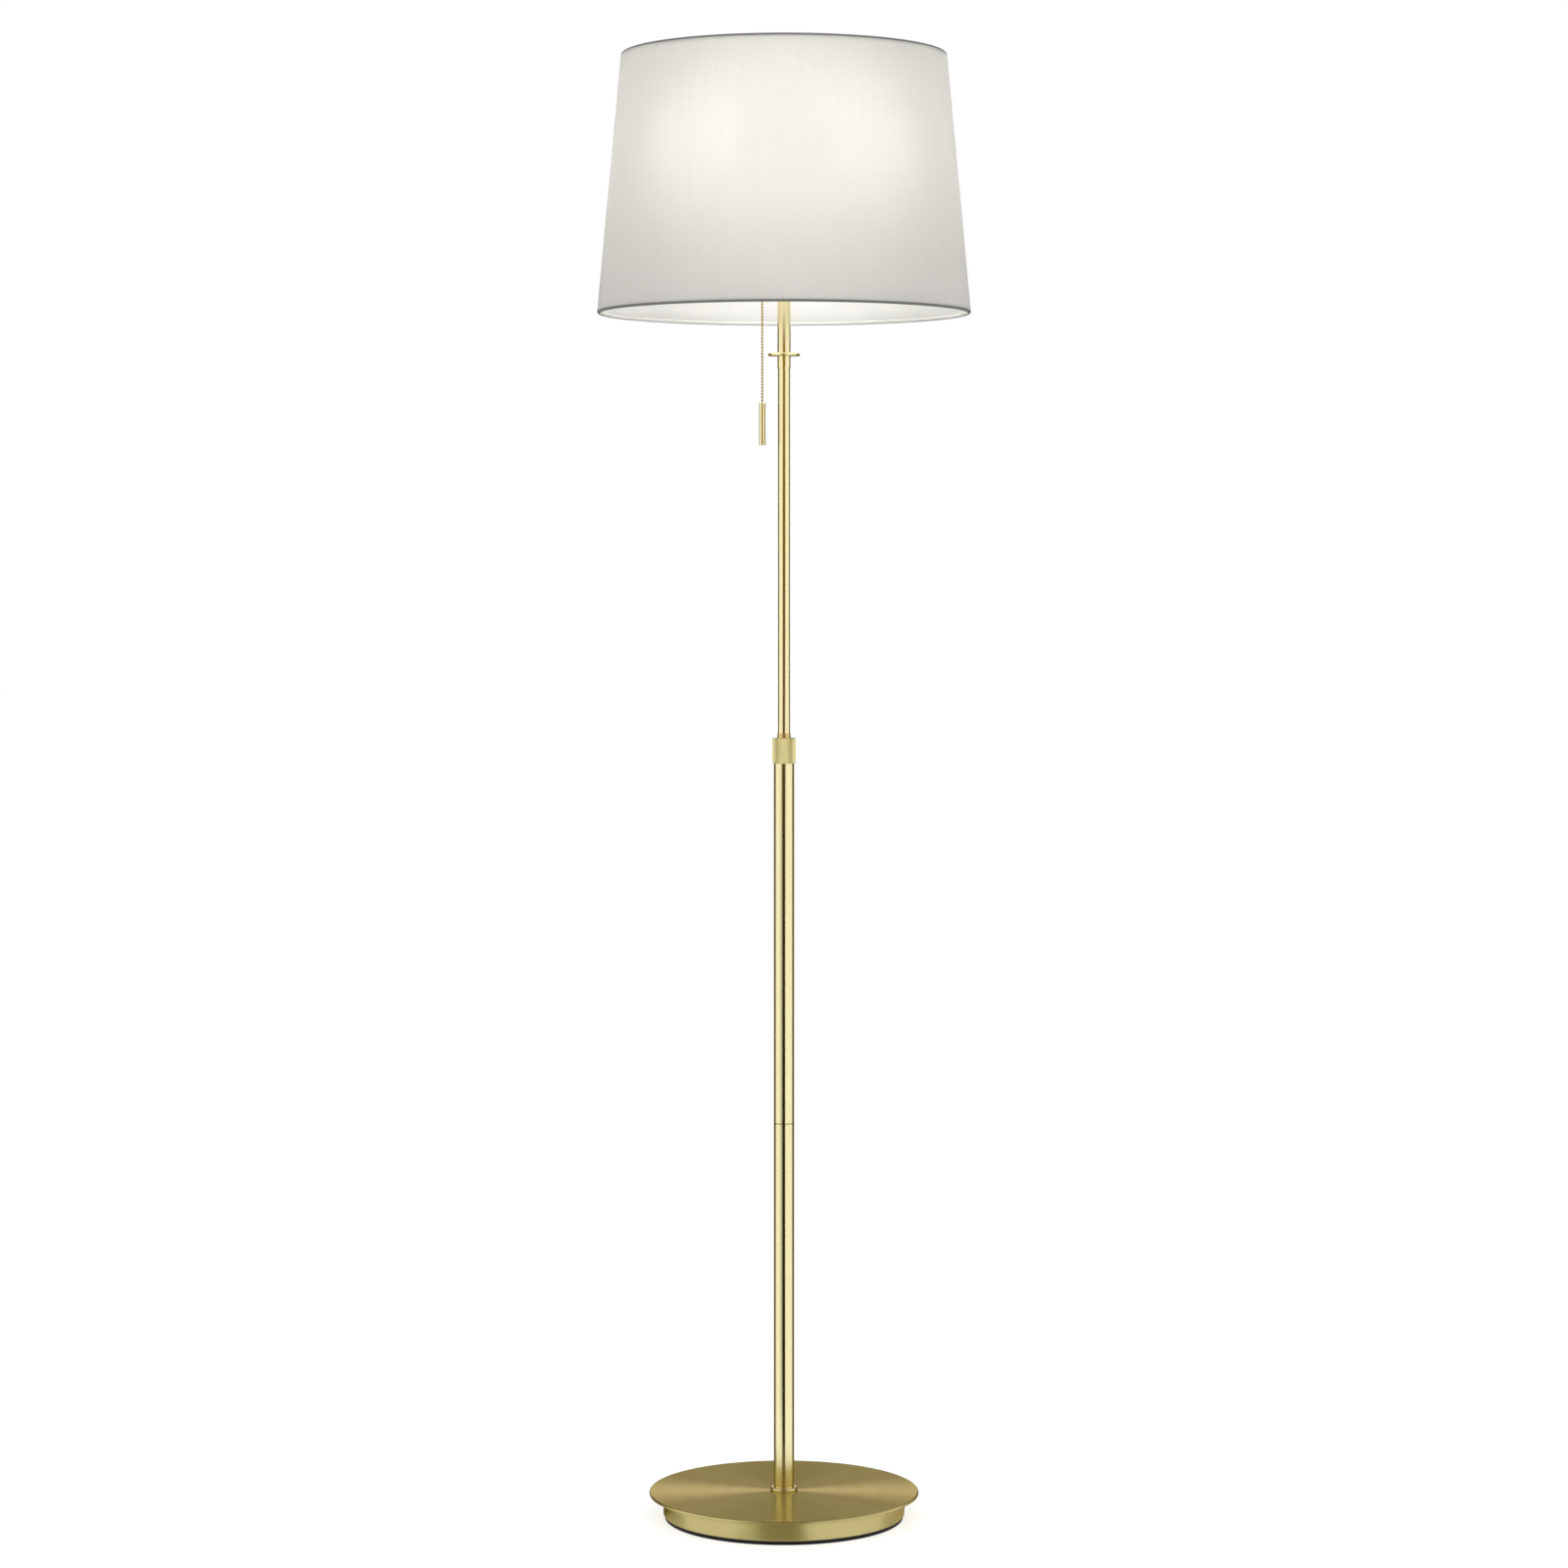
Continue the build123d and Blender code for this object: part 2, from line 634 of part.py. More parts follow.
def pull_switch_parts():
    """Switch in the cluster cup with its bell-mouthed collar and plunger, the bead chain and its handle."""
    floor_top = cup_bottom + cup_floor
    body_top = floor_top + switch_height
    neck_bottom = cup_bottom - switch_neck_length
    shaft_hole = plunger_radius + free_gap
    head_radius = plunger_radius + plunger_head_step
    head_bottom = floor_top + switch_floor + switch_travel + free_gap
    room = head_radius + free_gap
    body = turned([
        (shaft_hole, neck_bottom), (switch_neck_radius, neck_bottom), (switch_neck_radius, floor_top),
        (switch_radius, floor_top), (switch_radius, body_top), (0, body_top), (0, body_top - switch_roof),
        (room, body_top - switch_roof), (room, floor_top + switch_floor),
        (shaft_hole, floor_top + switch_floor),
    ],[(4, switch_round)])
    bell_bottom = cup_bottom - bell_height
    bell_bore = switch_neck_radius + thread_fit
    bell = turned([
        (bell_bore, cup_bottom), (bell_bore + bell_wall, cup_bottom),
        (bell_bore + bell_wall - bell_flare, bell_bottom), (shaft_hole + bell_flare, bell_bottom),
        (shaft_hole, bell_bottom + bell_flare), (shaft_hole, neck_bottom), (bell_bore, neck_bottom),
    ])

    ball_height = bell_bottom - plunger_reach
    neck_top = ball_height + plunger_neck
    head_top = head_bottom + plunger_head_height
    plunger = turned([
        (0, ball_height), (bead_link_radius, ball_height), (bead_link_radius, neck_top),
        (plunger_radius, neck_top + plunger_cone), (plunger_radius, head_bottom), (head_radius, head_bottom),
        (head_radius, head_top), (0, head_top),
    ]) + Pos(0, 0, ball_height) * Sphere(bead_radius)

    # The clasp grips the plunger's ball and the chain's top bead in round sockets, so the chain can swing.
    socket = bead_radius + clasp_socket_gap
    top_bead = ball_height - 2 * socket - clasp_web
    clasp = rod(socket + clasp_wall, top_bead - clasp_mouth, ball_height + clasp_mouth)
    for height in (top_bead, ball_height):
        clasp = clasp - Pos(0, 0, height) * Sphere(socket)
    handle_top = shade_bottom - handle_below_shade
    handle_bore = bead_radius + seat_gap
    bore_bottom = handle_top - handle_bore_depth
    handle = turned([
        (0, handle_top - handle_length), (handle_radius, handle_top - handle_length),
        (handle_radius, handle_top), (handle_bore, handle_top), (handle_bore, bore_bottom), (0, bore_bottom),
    ], [(1, handle_round), (2, handle_round)])
    place = Pos(-chain_offset, 0, 0)
    return {
        "switch_body": place * body,
        "switch_bell": place * bell,
        "switch_plunger": place * plunger,
        "chain_clasp": place * clasp,
        "pull_chain": place * bead_chain(bore_bottom, top_bead),
        "pull_handle": place * handle,
    }


def bead_chain(bottom, top_bead):
    """Hanging bead chain: round beads a pitch apart on thin links, turned as one string."""
    pitch = 2 * bead_radius + bead_gap
    count = int((top_bead - bottom - bead_radius) / pitch) + 1
    half = math.sqrt(bead_radius ** 2 - bead_link_radius ** 2)
    edges = []
    below = (bead_link_radius, 0, bottom)
    for i in reversed(range(count)):
        centre = top_bead - i * pitch
        low = (bead_link_radius, 0, centre - half)
        high = (bead_link_radius, 0, centre + half) if i else (0, 0, centre + bead_radius)
        edges.append(Line(below, low))
        edges.append(ThreePointArc(low, (bead_radius, 0, centre), high))
        below = high
    closing = Polyline(below, (0, 0, bottom), (bead_link_radius, 0, bottom))
    return revolve(make_face([*edges, *closing.edges()]), Axis.Z)


def hem_hook(r, z, up):
    """Section of a rolled hem: the cloth's outer side round the wire, its turned-in end and the way back.

    up is 1 where the shade's wall rises from the hem and -1 where it hangs from it.
    """
    room = ring_wire + ring_room
    wall_outside = hem_radius - hem_proud
    outside_angle = math.acos(wall_outside / hem_radius)
    inside_angle = math.acos((wall_outside - shade_wall) / room)
    end_angle = math.radians(hem_end_angle) - 2 * math.pi

    def point(radius, angle):
        return (r + radius * math.cos(angle), 0, z + up * radius * math.sin(angle))

    def half_arcs(radius, first, last):
        """Two arcs, each under a half circle, from one angle to another."""
        stops = [point(radius, first + (last - first) * i / 4) for i in range(5)]
        return [ThreePointArc(*stops[:3]), ThreePointArc(*stops[2:])]

    end = Line(point(hem_radius, end_angle), point(room, end_angle))
    return [*half_arcs(hem_radius, outside_angle, end_angle), end, *half_arcs(room, end_angle, inside_angle)]


def shade_parts():
    """Fabric shade with rolled hems round its two wire rings, the spider, the rod under it and the finial."""
    low_radius, low_height = shade_bottom_radius - hem_radius, shade_bottom + hem_radius
    high_radius, high_height = shade_top_radius - hem_radius, set_height - hem_radius
    low_hem = hem_hook(low_radius, low_height, 1)
    high_hem = hem_hook(high_radius, high_height, -1)
    outer_wall = Line(low_hem[0] @ 0, high_hem[0] @ 0)
    inner_wall = Line(low_hem[-1] @ 1, high_hem[-1] @ 1)
    fabric = revolve(make_face([*low_hem, *high_hem, outer_wall, inner_wall]), Axis.Z)

    # Each spider arm runs straight from the hub's edge up to the top ring.
    rise = high_height - spider_seat - spider_hub_thickness / 2
    lean = math.degrees(math.atan2(high_radius - spider_hub_radius, rise))
    length = math.hypot(high_radius - spider_hub_radius, rise)
    spider = ring(spider_hub_radius, stud_hole, spider_seat, spider_top)
    for turn in PolarLocations(0, spider_arm_count, 90):
        edge = turn * Pos(spider_hub_radius, 0, spider_seat + spider_hub_thickness / 2) * Rot(0, lean, 0)
        spider = spider + edge * rod(ring_wire, stud_hole - spider_hub_radius + 2 * ring_wire, length)
        fabric = fabric - edge * rod(ring_wire + side_gap, length / 2, length)
    spider = spider - Pos(0, 0, high_height) * Torus(high_radius, ring_wire + seat_gap)

    hub_top = cover_top + rod_hub_height
    hub_radius = nipple_hole + rod_hub_wall
    stud_top = spider_seat + stud_length
    shade_rod = turned([
        (nipple_hole, cover_top), (hub_radius, cover_top), (hub_radius, hub_top),
        (shade_rod_radius, hub_top + rod_hub_taper), (shade_rod_radius, spider_seat),
        (stud_radius, spider_seat), (stud_radius, stud_top), (0, stud_top), (0, hub_top),
        (nipple_hole, hub_top),
    ])
    finial_top = spider_top + finial_height
    finial_bore = stud_radius + thread_fit
    finial = turned([
        (finial_bore, spider_top), (finial_radius, spider_top), (finial_radius, spider_top + finial_foot),
        (finial_waist_radius, spider_top + finial_waist_height), (finial_radius, finial_top), (0, finial_top),
        (0, stud_top + free_gap), (finial_bore, stud_top + free_gap),
    ], [(1, finial_edge_round), (2, finial_edge_round), (4, finial_crown_round)])
    return {
        "shade_fabric": fabric,
        "shade_top_ring": Pos(0, 0, high_height) * Torus(high_radius, ring_wire),
        "shade_bottom_ring": Pos(0, 0, low_height) * Torus(low_radius, ring_wire),
        "shade_spider": spider,
        "shade_rod": shade_rod,
        "finial": finial,
    }


def main():
    """Build every piece and write one STEP file for each."""
    pieces = {
        **base_parts(), **lower_pole_parts(), **clamp_parts(), **upper_pole_parts(), **head_stem_parts(),
        **cluster_parts(), **lampholder_parts(-1, "left"), **lampholder_parts(1, "right"),
        **pull_switch_parts(), **shade_parts(),
    }
    os.makedirs("parts", exist_ok=True)
    for name, shape in pieces.items():
        export_step(shape, f"parts/{name}.step")


main()
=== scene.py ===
"""Looks of a height-adjustable floor lamp in satin brass, lit from inside its tapered fabric shade.

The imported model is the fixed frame. This script gives every node its finish, replaces the soft solids by
cloth and felt worked out as grids, and sets up a white studio with the photograph's camera. Lengths are
metres and angles are radians, unless a docstring says otherwise.
"""

import logging
import math
from dataclasses import dataclass, field, replace
from enum import Enum, IntEnum

import bpy
import numpy as np
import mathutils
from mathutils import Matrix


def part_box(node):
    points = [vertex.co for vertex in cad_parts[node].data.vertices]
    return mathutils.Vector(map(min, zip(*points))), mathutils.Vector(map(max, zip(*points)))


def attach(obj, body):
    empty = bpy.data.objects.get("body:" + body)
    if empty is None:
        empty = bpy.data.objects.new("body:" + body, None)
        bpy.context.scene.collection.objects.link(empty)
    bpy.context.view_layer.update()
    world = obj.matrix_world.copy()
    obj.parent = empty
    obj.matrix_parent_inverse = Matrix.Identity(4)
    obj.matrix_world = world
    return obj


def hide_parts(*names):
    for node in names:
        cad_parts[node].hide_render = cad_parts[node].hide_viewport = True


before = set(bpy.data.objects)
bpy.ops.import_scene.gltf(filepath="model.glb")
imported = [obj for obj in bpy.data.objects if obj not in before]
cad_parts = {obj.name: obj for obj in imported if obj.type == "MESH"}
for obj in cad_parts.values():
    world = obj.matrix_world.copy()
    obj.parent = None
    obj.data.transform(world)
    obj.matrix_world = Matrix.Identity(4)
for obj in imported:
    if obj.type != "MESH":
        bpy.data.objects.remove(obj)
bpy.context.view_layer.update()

LOG = logging.getLogger("floor_lamp")
FULL_TURN = 2 * math.pi
SHARP_ANGLE = math.radians(50)
CELL_CORNERS = ((0, 0), (1, 0), (1, 1), (0, 1))
Colour = tuple[float, float, float]
Vector = tuple[float, float, float]
Socket = bpy.types.NodeSocket
Value = Socket | float | tuple[float, ...]


class Grain(Enum):
    """Direction in which a metal's fine scratches run."""

    ROUND = "round the piece's upright axis"
    NONE = "no direction"


class Side(Enum):
    """Sides of the twin lampholder cluster, as in the names of its nodes."""

    LEFT = "left"
    RIGHT = "right"


class Layer(IntEnum):
    """Materials of the shade's wall, in the order of its slots."""

    CLOTH = 0
    LINING = 1
    HEM = 2


class Ray(Enum):
    """Ray kinds that a studio piece can be seen by."""

    CAMERA = "visible_camera"
    DIFFUSE = "visible_diffuse"
    GLOSSY = "visible_glossy"
    TRANSMISSION = "visible_transmission"
    SCATTER = "visible_volume_scatter"
    SHADOW = "visible_shadow"


class Graph:
    """Node tree of a material or a world, built from short calls."""

    def __init__(self, owner: bpy.types.Material | bpy.types.World) -> None:
        """Start with an empty tree.

        Args:
            owner: Material or world that the tree belongs to.
        """
        self.owner = owner
        owner.use_nodes = True
        self.tree = owner.node_tree
        self.tree.nodes.clear()

    @classmethod
    def of_material(cls, name: str) -> "Graph":
        """Start the empty tree of a new material with this name."""
        return cls(bpy.data.materials.new(name))

    def add(
        self, kind: str, inputs: dict[str | int, Value] | None = None, **settings: object
    ) -> bpy.types.Node:
        """Add a node, set its properties and feed its inputs.

        Args:
            kind: Node type without its ShaderNode prefix.
            inputs: Values or outputs for its inputs, by name or number.
            **settings: Node properties to set.

        Returns:
            The new node.
        """
        node = self.tree.nodes.new("ShaderNode" + kind)
        for key, setting in settings.items():
            setattr(node, key, setting)
        for key, value in (inputs or {}).items():
            self.put(node.inputs[key], value)
        return node

    def put(self, socket: Socket, value: Value) -> None:
        """Link an output to a socket, or set the socket's own value.

        Args:
            socket: Input socket to feed.
            value: Output socket, number or tuple.
        """
        if isinstance(value, Socket):
            self.tree.links.new(value, socket)
        elif socket.type == "RGBA" and len(value) == 3:
            socket.default_value = (*value, 1.0)
        else:
            socket.default_value = value

    def coordinates(self, kind: str = "Object", scale: Vector = (1, 1, 1)) -> Socket:
        """Coordinates of the surface, scaled.

        Args:
            kind: Output of the Texture Coordinate node.
            scale: Factor for each axis.

        Returns:
            A vector output.
        """
        where = self.add("TexCoord").outputs[kind]
        return self.add("Mapping", {"Vector": where, "Scale": scale}).outputs["Vector"]

    def rings(self) -> Socket:
        """Coordinates that are the same all round the upright axis.

        Returns:
            A vector output: (radius, 0, height).
        """
        where = self.coordinates()
        flat = self.add("VectorMath", {0: where, 1: (1, 1, 0)}, operation="MULTIPLY").outputs[0]
        radius = self.add("VectorMath", {0: flat}, operation="LENGTH").outputs["Value"]
        height = self.add("SeparateXYZ", {0: where}).outputs["Z"]
        return self.add("CombineXYZ", {"X": radius, "Z": height}).outputs[0]

    def noise(self, where: Socket, scale: float, detail: float) -> Socket:
        """Smooth noise from 0 to 1.

        Args:
            where: Coordinates to read.
            scale: Features to a metre.
            detail: Octaves of finer noise.

        Returns:
            The noise value.
        """
        return self.add("TexNoise", {"Vector": where, "Scale": scale, "Detail": detail}).outputs["Fac"]

    def spread(
        self, value: Socket, low: float, high: float, start: float = 0.3, stop: float = 0.7,
        curve: str = "LINEAR",
    ) -> Socket:
        """Map a stretch of a value, by default the middle of a noise, onto a range.

        Args:
            value: Value to map.
            low: Result at and under the stretch's start.
            high: Result at and over its end.
            start: Where the stretch starts.
            stop: Where it ends.
            curve: Interpolation of the Map Range node.

        Returns:
            The mapped value.
        """
        limits = {"From Min": start, "From Max": stop, "To Min": low, "To Max": high}
        return self.add("MapRange", {"Value": value, **limits}, interpolation_type=curve).outputs["Result"]

    def blend(self, share: Value, first: Value, second: Value) -> Socket:
        """Mix two colours.

        Args:
            share: Share of the second colour.
            first: Colour at share 0.
            second: Colour at share 1.

        Returns:
            The mixed colour.
        """
        return self.add("Mix", {"Factor": share, 6: first, 7: second}, data_type="RGBA").outputs[2]

    def sum(self, first: Value, second: Value, factor: float = 1.0) -> Socket:
        """First value plus a factor times the second.

        Args:
            first: Value to add to.
            second: Value to multiply.
            factor: What the second value is multiplied by.

        Returns:
            The sum.
        """
        return self.add("Math", {0: second, 1: factor, 2: first}, operation="MULTIPLY_ADD").outputs[0]

    def mean(self, first: Value, second: Value, weight: float = 0.5) -> Socket:
        """Weight times the first value plus the rest of 1 times the second.

        Args:
            first: First value.
            second: Second value.
            weight: Weight of the first value.

        Returns:
            The weighted mean.
        """
        return self.sum(self.sum(0.0, first, weight), second, 1 - weight)

    def near_height(self, height: float, reach: float) -> Socket:
        """1 where the surface lies within a reach of a height, and 0 elsewhere.

        Args:
            height: Height to look for.
            reach: How far above and below it the result is 1.

        Returns:
            The value.
        """
        here = self.add("SeparateXYZ", {0: self.coordinates()}).outputs["Z"]
        return self.add("Math", {0: here, 1: height, 2: reach}, operation="COMPARE").outputs[0]

    def bump(self, height: Socket, depth: float, strength: float) -> Socket:
        """Fine relief for a shader's normal.

        Args:
            height: Relief from 0 to 1.
            depth: Depth of the relief.
            strength: How strongly it shows.

        Returns:
            The bent normal.
        """
        inputs = {"Strength": strength, "Distance": depth, "Height": height}
        return self.add("Bump", inputs).outputs["Normal"]

    def mix_shaders(self, share: Value, first: Socket, second: Socket) -> Socket:
        """Mix two shaders.

        Args:
            share: Share of the second shader.
            first: Shader at share 0.
            second: Shader at share 1.

        Returns:
            The mixed shader.
        """
        return self.add("MixShader", {0: share, 1: first, 2: second}).outputs[0]

    def principled(self, **values: Value) -> Socket:
        """Add a Principled shader.

        Args:
            **values: Socket values by name, with _ for spaces.

        Returns:
            The shader.
        """
        inputs = {key.replace("_", " "): value for key, value in values.items()}
        return self.add("BsdfPrincipled", inputs).outputs[0]

    def finish(self, shader: Socket) -> bpy.types.Material:
        """Link a shader to the output.

        Args:
            shader: What the surface shows.

        Returns:
            The finished material.
        """
        self.add("OutputMaterial", {"Surface": shader})
        return self.owner


@dataclass(frozen=True)
class Brass:
    """Brass with fine scratches, slight clouding and a trace of relief.

    Scratches and clouds are counted to a metre. The edge colour shows at a grazing view. A groove is the
    height of a joint, where a thin band of painted shade darkens the groove, and is left out where there
    is none.
    """

    name: str
    colour: Colour
    clouded: Colour
    roughness: float
    spread: float
    anisotropy: float = 0.0
    grain: Grain = Grain.ROUND
    scratches: float = 1800.0
    scratches_to_lane: float = 9.0
    depth: float = 0.00002
    clouds: float = 14.0
    cloud_wear: float = 0.03
    edge: Colour = (0.90, 0.78, 0.48)
    metallic: float = 1.0
    groove: float | None = None
    groove_reach: float = 0.00042
    # Colour of the painted shade in a joint's groove.
    groove_shade_colour: Colour = (0.26, 0.20, 0.09)

    def material(self) -> bpy.types.Material:
        """Lanes of noise drive the relief and the roughness, and broad noise clouds the colour.

        Returns:
            The finished material.
        """
        graph = Graph.of_material(self.name)
        lanes = graph.rings() if self.grain is Grain.ROUND else graph.coordinates()
        fine = graph.noise(lanes, self.scratches, detail=4.0)
        broad = graph.noise(lanes, self.scratches / self.scratches_to_lane, detail=2.0)
        cloud = graph.noise(graph.coordinates(), self.clouds, detail=4.0)
        colour = graph.blend(graph.spread(cloud, 0.0, 1.0), self.colour, self.clouded)
        if self.groove is not None:
            # Painted shade: a thin dark band round the joint's groove.
            groove_shade_mask = graph.near_height(self.groove, self.groove_reach)
            colour = graph.blend(groove_shade_mask, colour, self.groove_shade_colour)
        worn = graph.spread(broad, self.roughness - self.spread, self.roughness + self.spread)
        return graph.finish(graph.principled(
            Base_Color=colour, Metallic=self.metallic, Roughness=graph.sum(worn, cloud, self.cloud_wear),
            Anisotropic=self.anisotropy, Anisotropic_Rotation=0.25, Specular_Tint=self.edge,
            Normal=graph.bump(fine, self.depth, strength=0.25),
            Tangent=graph.add("Tangent", direction_type="RADIAL", axis="Z").outputs[0],
        ))


@dataclass(frozen=True)
class Moulded:
    """Moulded plastic or paint with a fine orange-peel skin. Grain and clouds are counted to a metre."""

    name: str
    colour: Colour
    dull: Colour
    roughness: float
    grain: float = 900.0
    depth: float = 0.00004
    coat: float = 0.0
    clouds: float = 45.0
    smoother: float = 0.05
    duller: float = 0.07

    def material(self) -> bpy.types.Material:
        """Fine noise gives the skin, and broad noise dulls the colour and the gloss.

        Returns:
            The finished material.
        """
        graph = Graph.of_material(self.name)
        skin = graph.noise(graph.coordinates(), self.grain, detail=2.0)
        cloud = graph.noise(graph.coordinates(), self.clouds, detail=4.0)
        return graph.finish(graph.principled(
            Base_Color=graph.blend(graph.spread(cloud, 0.0, 1.0), self.colour, self.dull),
            Roughness=graph.spread(cloud, self.roughness - self.smoother, self.roughness + self.duller),
            Coat_Weight=self.coat, Coat_Roughness=0.12, Normal=graph.bump(skin, self.depth, strength=0.4),
        ))


@dataclass(frozen=True)
class Metal:
    """Plated, cast or drawn metal, mottled by its crystals or sand, whose cells are counted to a metre."""

    name: str
    colour: Colour
    mottle: Colour
    roughness: float
    cells: float
    depth: float
    spread: float = 0.08

    def material(self) -> bpy.types.Material:
        """Cells of noise mottle the colour and the roughness and raise the skin.

        Returns:
            The finished material.
        """
        graph = Graph.of_material(self.name)
        cells = graph.noise(graph.coordinates(), self.cells, detail=3.0)
        return graph.finish(graph.principled(
            Base_Color=graph.blend(graph.spread(cells, 0.0, 1.0), self.colour, self.mottle), Metallic=1.0,
            Roughness=graph.spread(cells, self.roughness - self.spread, self.roughness + self.spread),
            Normal=graph.bump(cells, self.depth, strength=0.5),
        ))


@dataclass(frozen=True)
class Felt:
    """Dense pressed felt: matted fibres, counted to a metre, with a soft sheen."""

    name: str
    colour: Colour
    fibre: Colour
    fibres: float = 1600.0
    stretch: float = 0.15
    depth: float = 0.0003

    def material(self) -> bpy.types.Material:
        """Two sets of stretched noise cross as fibres.

        Returns:
            The finished material.
        """
        graph = Graph.of_material(self.name)
        across = graph.noise(graph.coordinates(scale=(1, self.stretch, 1)), self.fibres, detail=2.0)
        along = graph.noise(graph.coordinates(scale=(self.stretch, 1, 1)), self.fibres, detail=2.0)
        fibres = graph.mean(across, along)
        return graph.finish(graph.principled(
            Base_Color=graph.blend(graph.spread(fibres, 0.0, 1.0), self.colour, self.fibre), Roughness=0.95,
            Specular_IOR_Level=0.2, Sheen_Weight=0.25, Sheen_Roughness=0.6,
            Normal=graph.bump(fibres, self.depth, strength=0.8),
        ))


@dataclass(frozen=True)
class SlubCloth:
    """Bleached slubby weave that glows when lit from behind. Its UV map is in metres, V up the shade.

    Slubs, bands and threads are counted to a metre, and a stretch under 1 draws them out along the thread.
    Through is the share that lets light pass, in colours of its own.
    """

    name: str
    colour: Colour
    slub: Colour
    through: float
    through_colour: Colour
    through_slub: Colour
    slubs: float = 420.0
    slub_stretch: float = 0.06
    slub_peak: tuple[float, float] = (0.58, 0.72)
    slub_weight: float = 0.7
    bands: float = 120.0
    band_stretch: float = 0.008
    warp: float = 2600.0
    weft: float = 2200.0
    thread_stretch: float = 0.02
    weave_weight: float = 0.4
    depth: float = 0.00005

    def material(self) -> bpy.types.Material:
        """Peaks of long thin noise make the slubs, fine noise the weave, and part of the light passes.

        Returns:
            The finished material.
        """
        graph = Graph.of_material(self.name)
        knots = graph.noise(graph.coordinates("UV", (1, self.slub_stretch, 1)), self.slubs, detail=2.0)
        bands = graph.noise(graph.coordinates("UV", (1, self.band_stretch, 1)), self.bands, detail=2.0)
        warp = graph.noise(graph.coordinates("UV", (1, self.thread_stretch, 1)), self.warp, detail=1.0)
        weft = graph.noise(graph.coordinates("UV", (self.thread_stretch, 1, 1)), self.weft, detail=1.0)
        slubs = graph.spread(knots, 0.0, 1.0, *self.slub_peak)
        streaks = graph.mean(slubs, graph.spread(bands, 0.0, 1.0), self.slub_weight)
        relief = graph.mean(graph.mean(warp, weft), slubs, self.weave_weight)
        normal = graph.bump(relief, self.depth, strength=0.3)
        front = graph.principled(
            Base_Color=graph.blend(streaks, self.colour, self.slub), Roughness=0.85, Specular_IOR_Level=0.25,
            Sheen_Weight=0.12, Sheen_Roughness=0.5, Normal=normal,
        )
        passed = graph.blend(streaks, self.through_colour, self.through_slub)
        behind = graph.add("BsdfTranslucent", {"Color": passed, "Normal": normal}).outputs[0]
        return graph.finish(graph.mix_shaders(self.through, front, behind))


@dataclass(frozen=True)
class Glow:
    """Frosted glass lit evenly from inside, its etching counted to a metre."""

    name: str
    light: Colour
    strength: float
    glass: Colour = (0.93, 0.92, 0.89)
    smooth: float = 0.42
    rough: float = 0.55
    etching: float = 1500.0
    depth: float = 0.00003

    def material(self) -> bpy.types.Material:
        """A frosted skin with a constant glow; fine noise etches it.

        Returns:
            The finished material.
        """
        graph = Graph.of_material(self.name)
        etched = graph.noise(graph.coordinates(), self.etching, detail=2.0)
        return graph.finish(graph.principled(
            Base_Color=self.glass, Roughness=graph.spread(etched, self.smooth, self.rough),
            Emission_Color=self.light, Emission_Strength=self.strength,
            Normal=graph.bump(etched, self.depth, strength=0.3),
        ))


Finish = Brass | Moulded | Metal | Felt | SlubCloth | Glow

SHEET_BRASS = Brass(
    "TurnedSheetBrass", (0.90, 0.77, 0.35), (0.86, 0.73, 0.32), roughness=0.34, spread=0.03, anisotropy=0.94
)
SATIN_BRASS = Brass(
    "SatinTubeBrass", (0.96, 0.87, 0.52), (0.94, 0.84, 0.48), roughness=0.17, spread=0.02, anisotropy=0.3,
    scratches=12000.0, depth=0.0000003,
)
KNURLED_BRASS = Brass(
    "KnurledBrass", (0.98, 0.90, 0.50), (0.95, 0.86, 0.46), roughness=0.50, spread=0.04, grain=Grain.NONE,
    depth=0.000004, metallic=0.75,
)
BEAD_BRASS = Brass(
    "PolishedBeadBrass", (0.57, 0.36, 0.05), (0.50, 0.31, 0.04), roughness=0.30, spread=0.03,
    grain=Grain.NONE, edge=(0.55, 0.37, 0.07),
)
TURNED_BRASS = Brass(
    "BareTurnedBrass", (0.86, 0.70, 0.30), (0.78, 0.60, 0.24), roughness=0.32, spread=0.06, anisotropy=0.4
)
BLACK_FELT = Felt("BlackFelt", (0.004, 0.004, 0.004), (0.012, 0.012, 0.012))
BLACK_STEEL = Moulded(
    "BlackPaint", (0.022, 0.022, 0.023), (0.030, 0.029, 0.028), roughness=0.45, grain=700.0, depth=0.00005
)
CAST_IRON = Metal(
    "CastIron", (0.20, 0.19, 0.18), (0.13, 0.12, 0.11), roughness=0.62, cells=700.0, depth=0.0003
)
ZINC_STEEL = Metal(
    "ZincPlate", (0.62, 0.62, 0.60), (0.54, 0.53, 0.48), roughness=0.36, cells=260.0, depth=0.00004
)
BLACK_NYLON = Moulded(
    "BlackNylon", (0.016, 0.016, 0.017), (0.024, 0.024, 0.024), roughness=0.42, grain=1400.0
)
WHITE_PLASTIC = Moulded(
    "WhiteMoulding", (0.82, 0.81, 0.78), (0.78, 0.77, 0.73), roughness=0.30, grain=500.0, depth=0.00003,
    coat=0.15,
)
BULB_METAL = Metal(
    "BulbCapMetal", (0.72, 0.72, 0.72), (0.64, 0.64, 0.63), roughness=0.26, cells=500.0, depth=0.00002
)
WHITE_WIRE = Moulded("WhiteWireCoat", (0.80, 0.80, 0.77), (0.75, 0.75, 0.71), roughness=0.34, grain=800.0)
FROSTED_GLASS = Glow("FrostedGlow", (1.0, 0.97, 0.93), strength=10.2)
SLUB_FABRIC = SlubCloth(
    "SlubCloth", (0.80, 0.785, 0.76), (0.77, 0.755, 0.73), through=0.5,
    through_colour=(0.86, 0.85, 0.825), through_slub=(0.82, 0.81, 0.785),
)
LINING = SlubCloth(
    "WhiteLining", (0.93, 0.93, 0.92), (0.92, 0.92, 0.91), through=0.36,
    through_colour=(0.92, 0.915, 0.90), through_slub=(0.91, 0.905, 0.89),
)
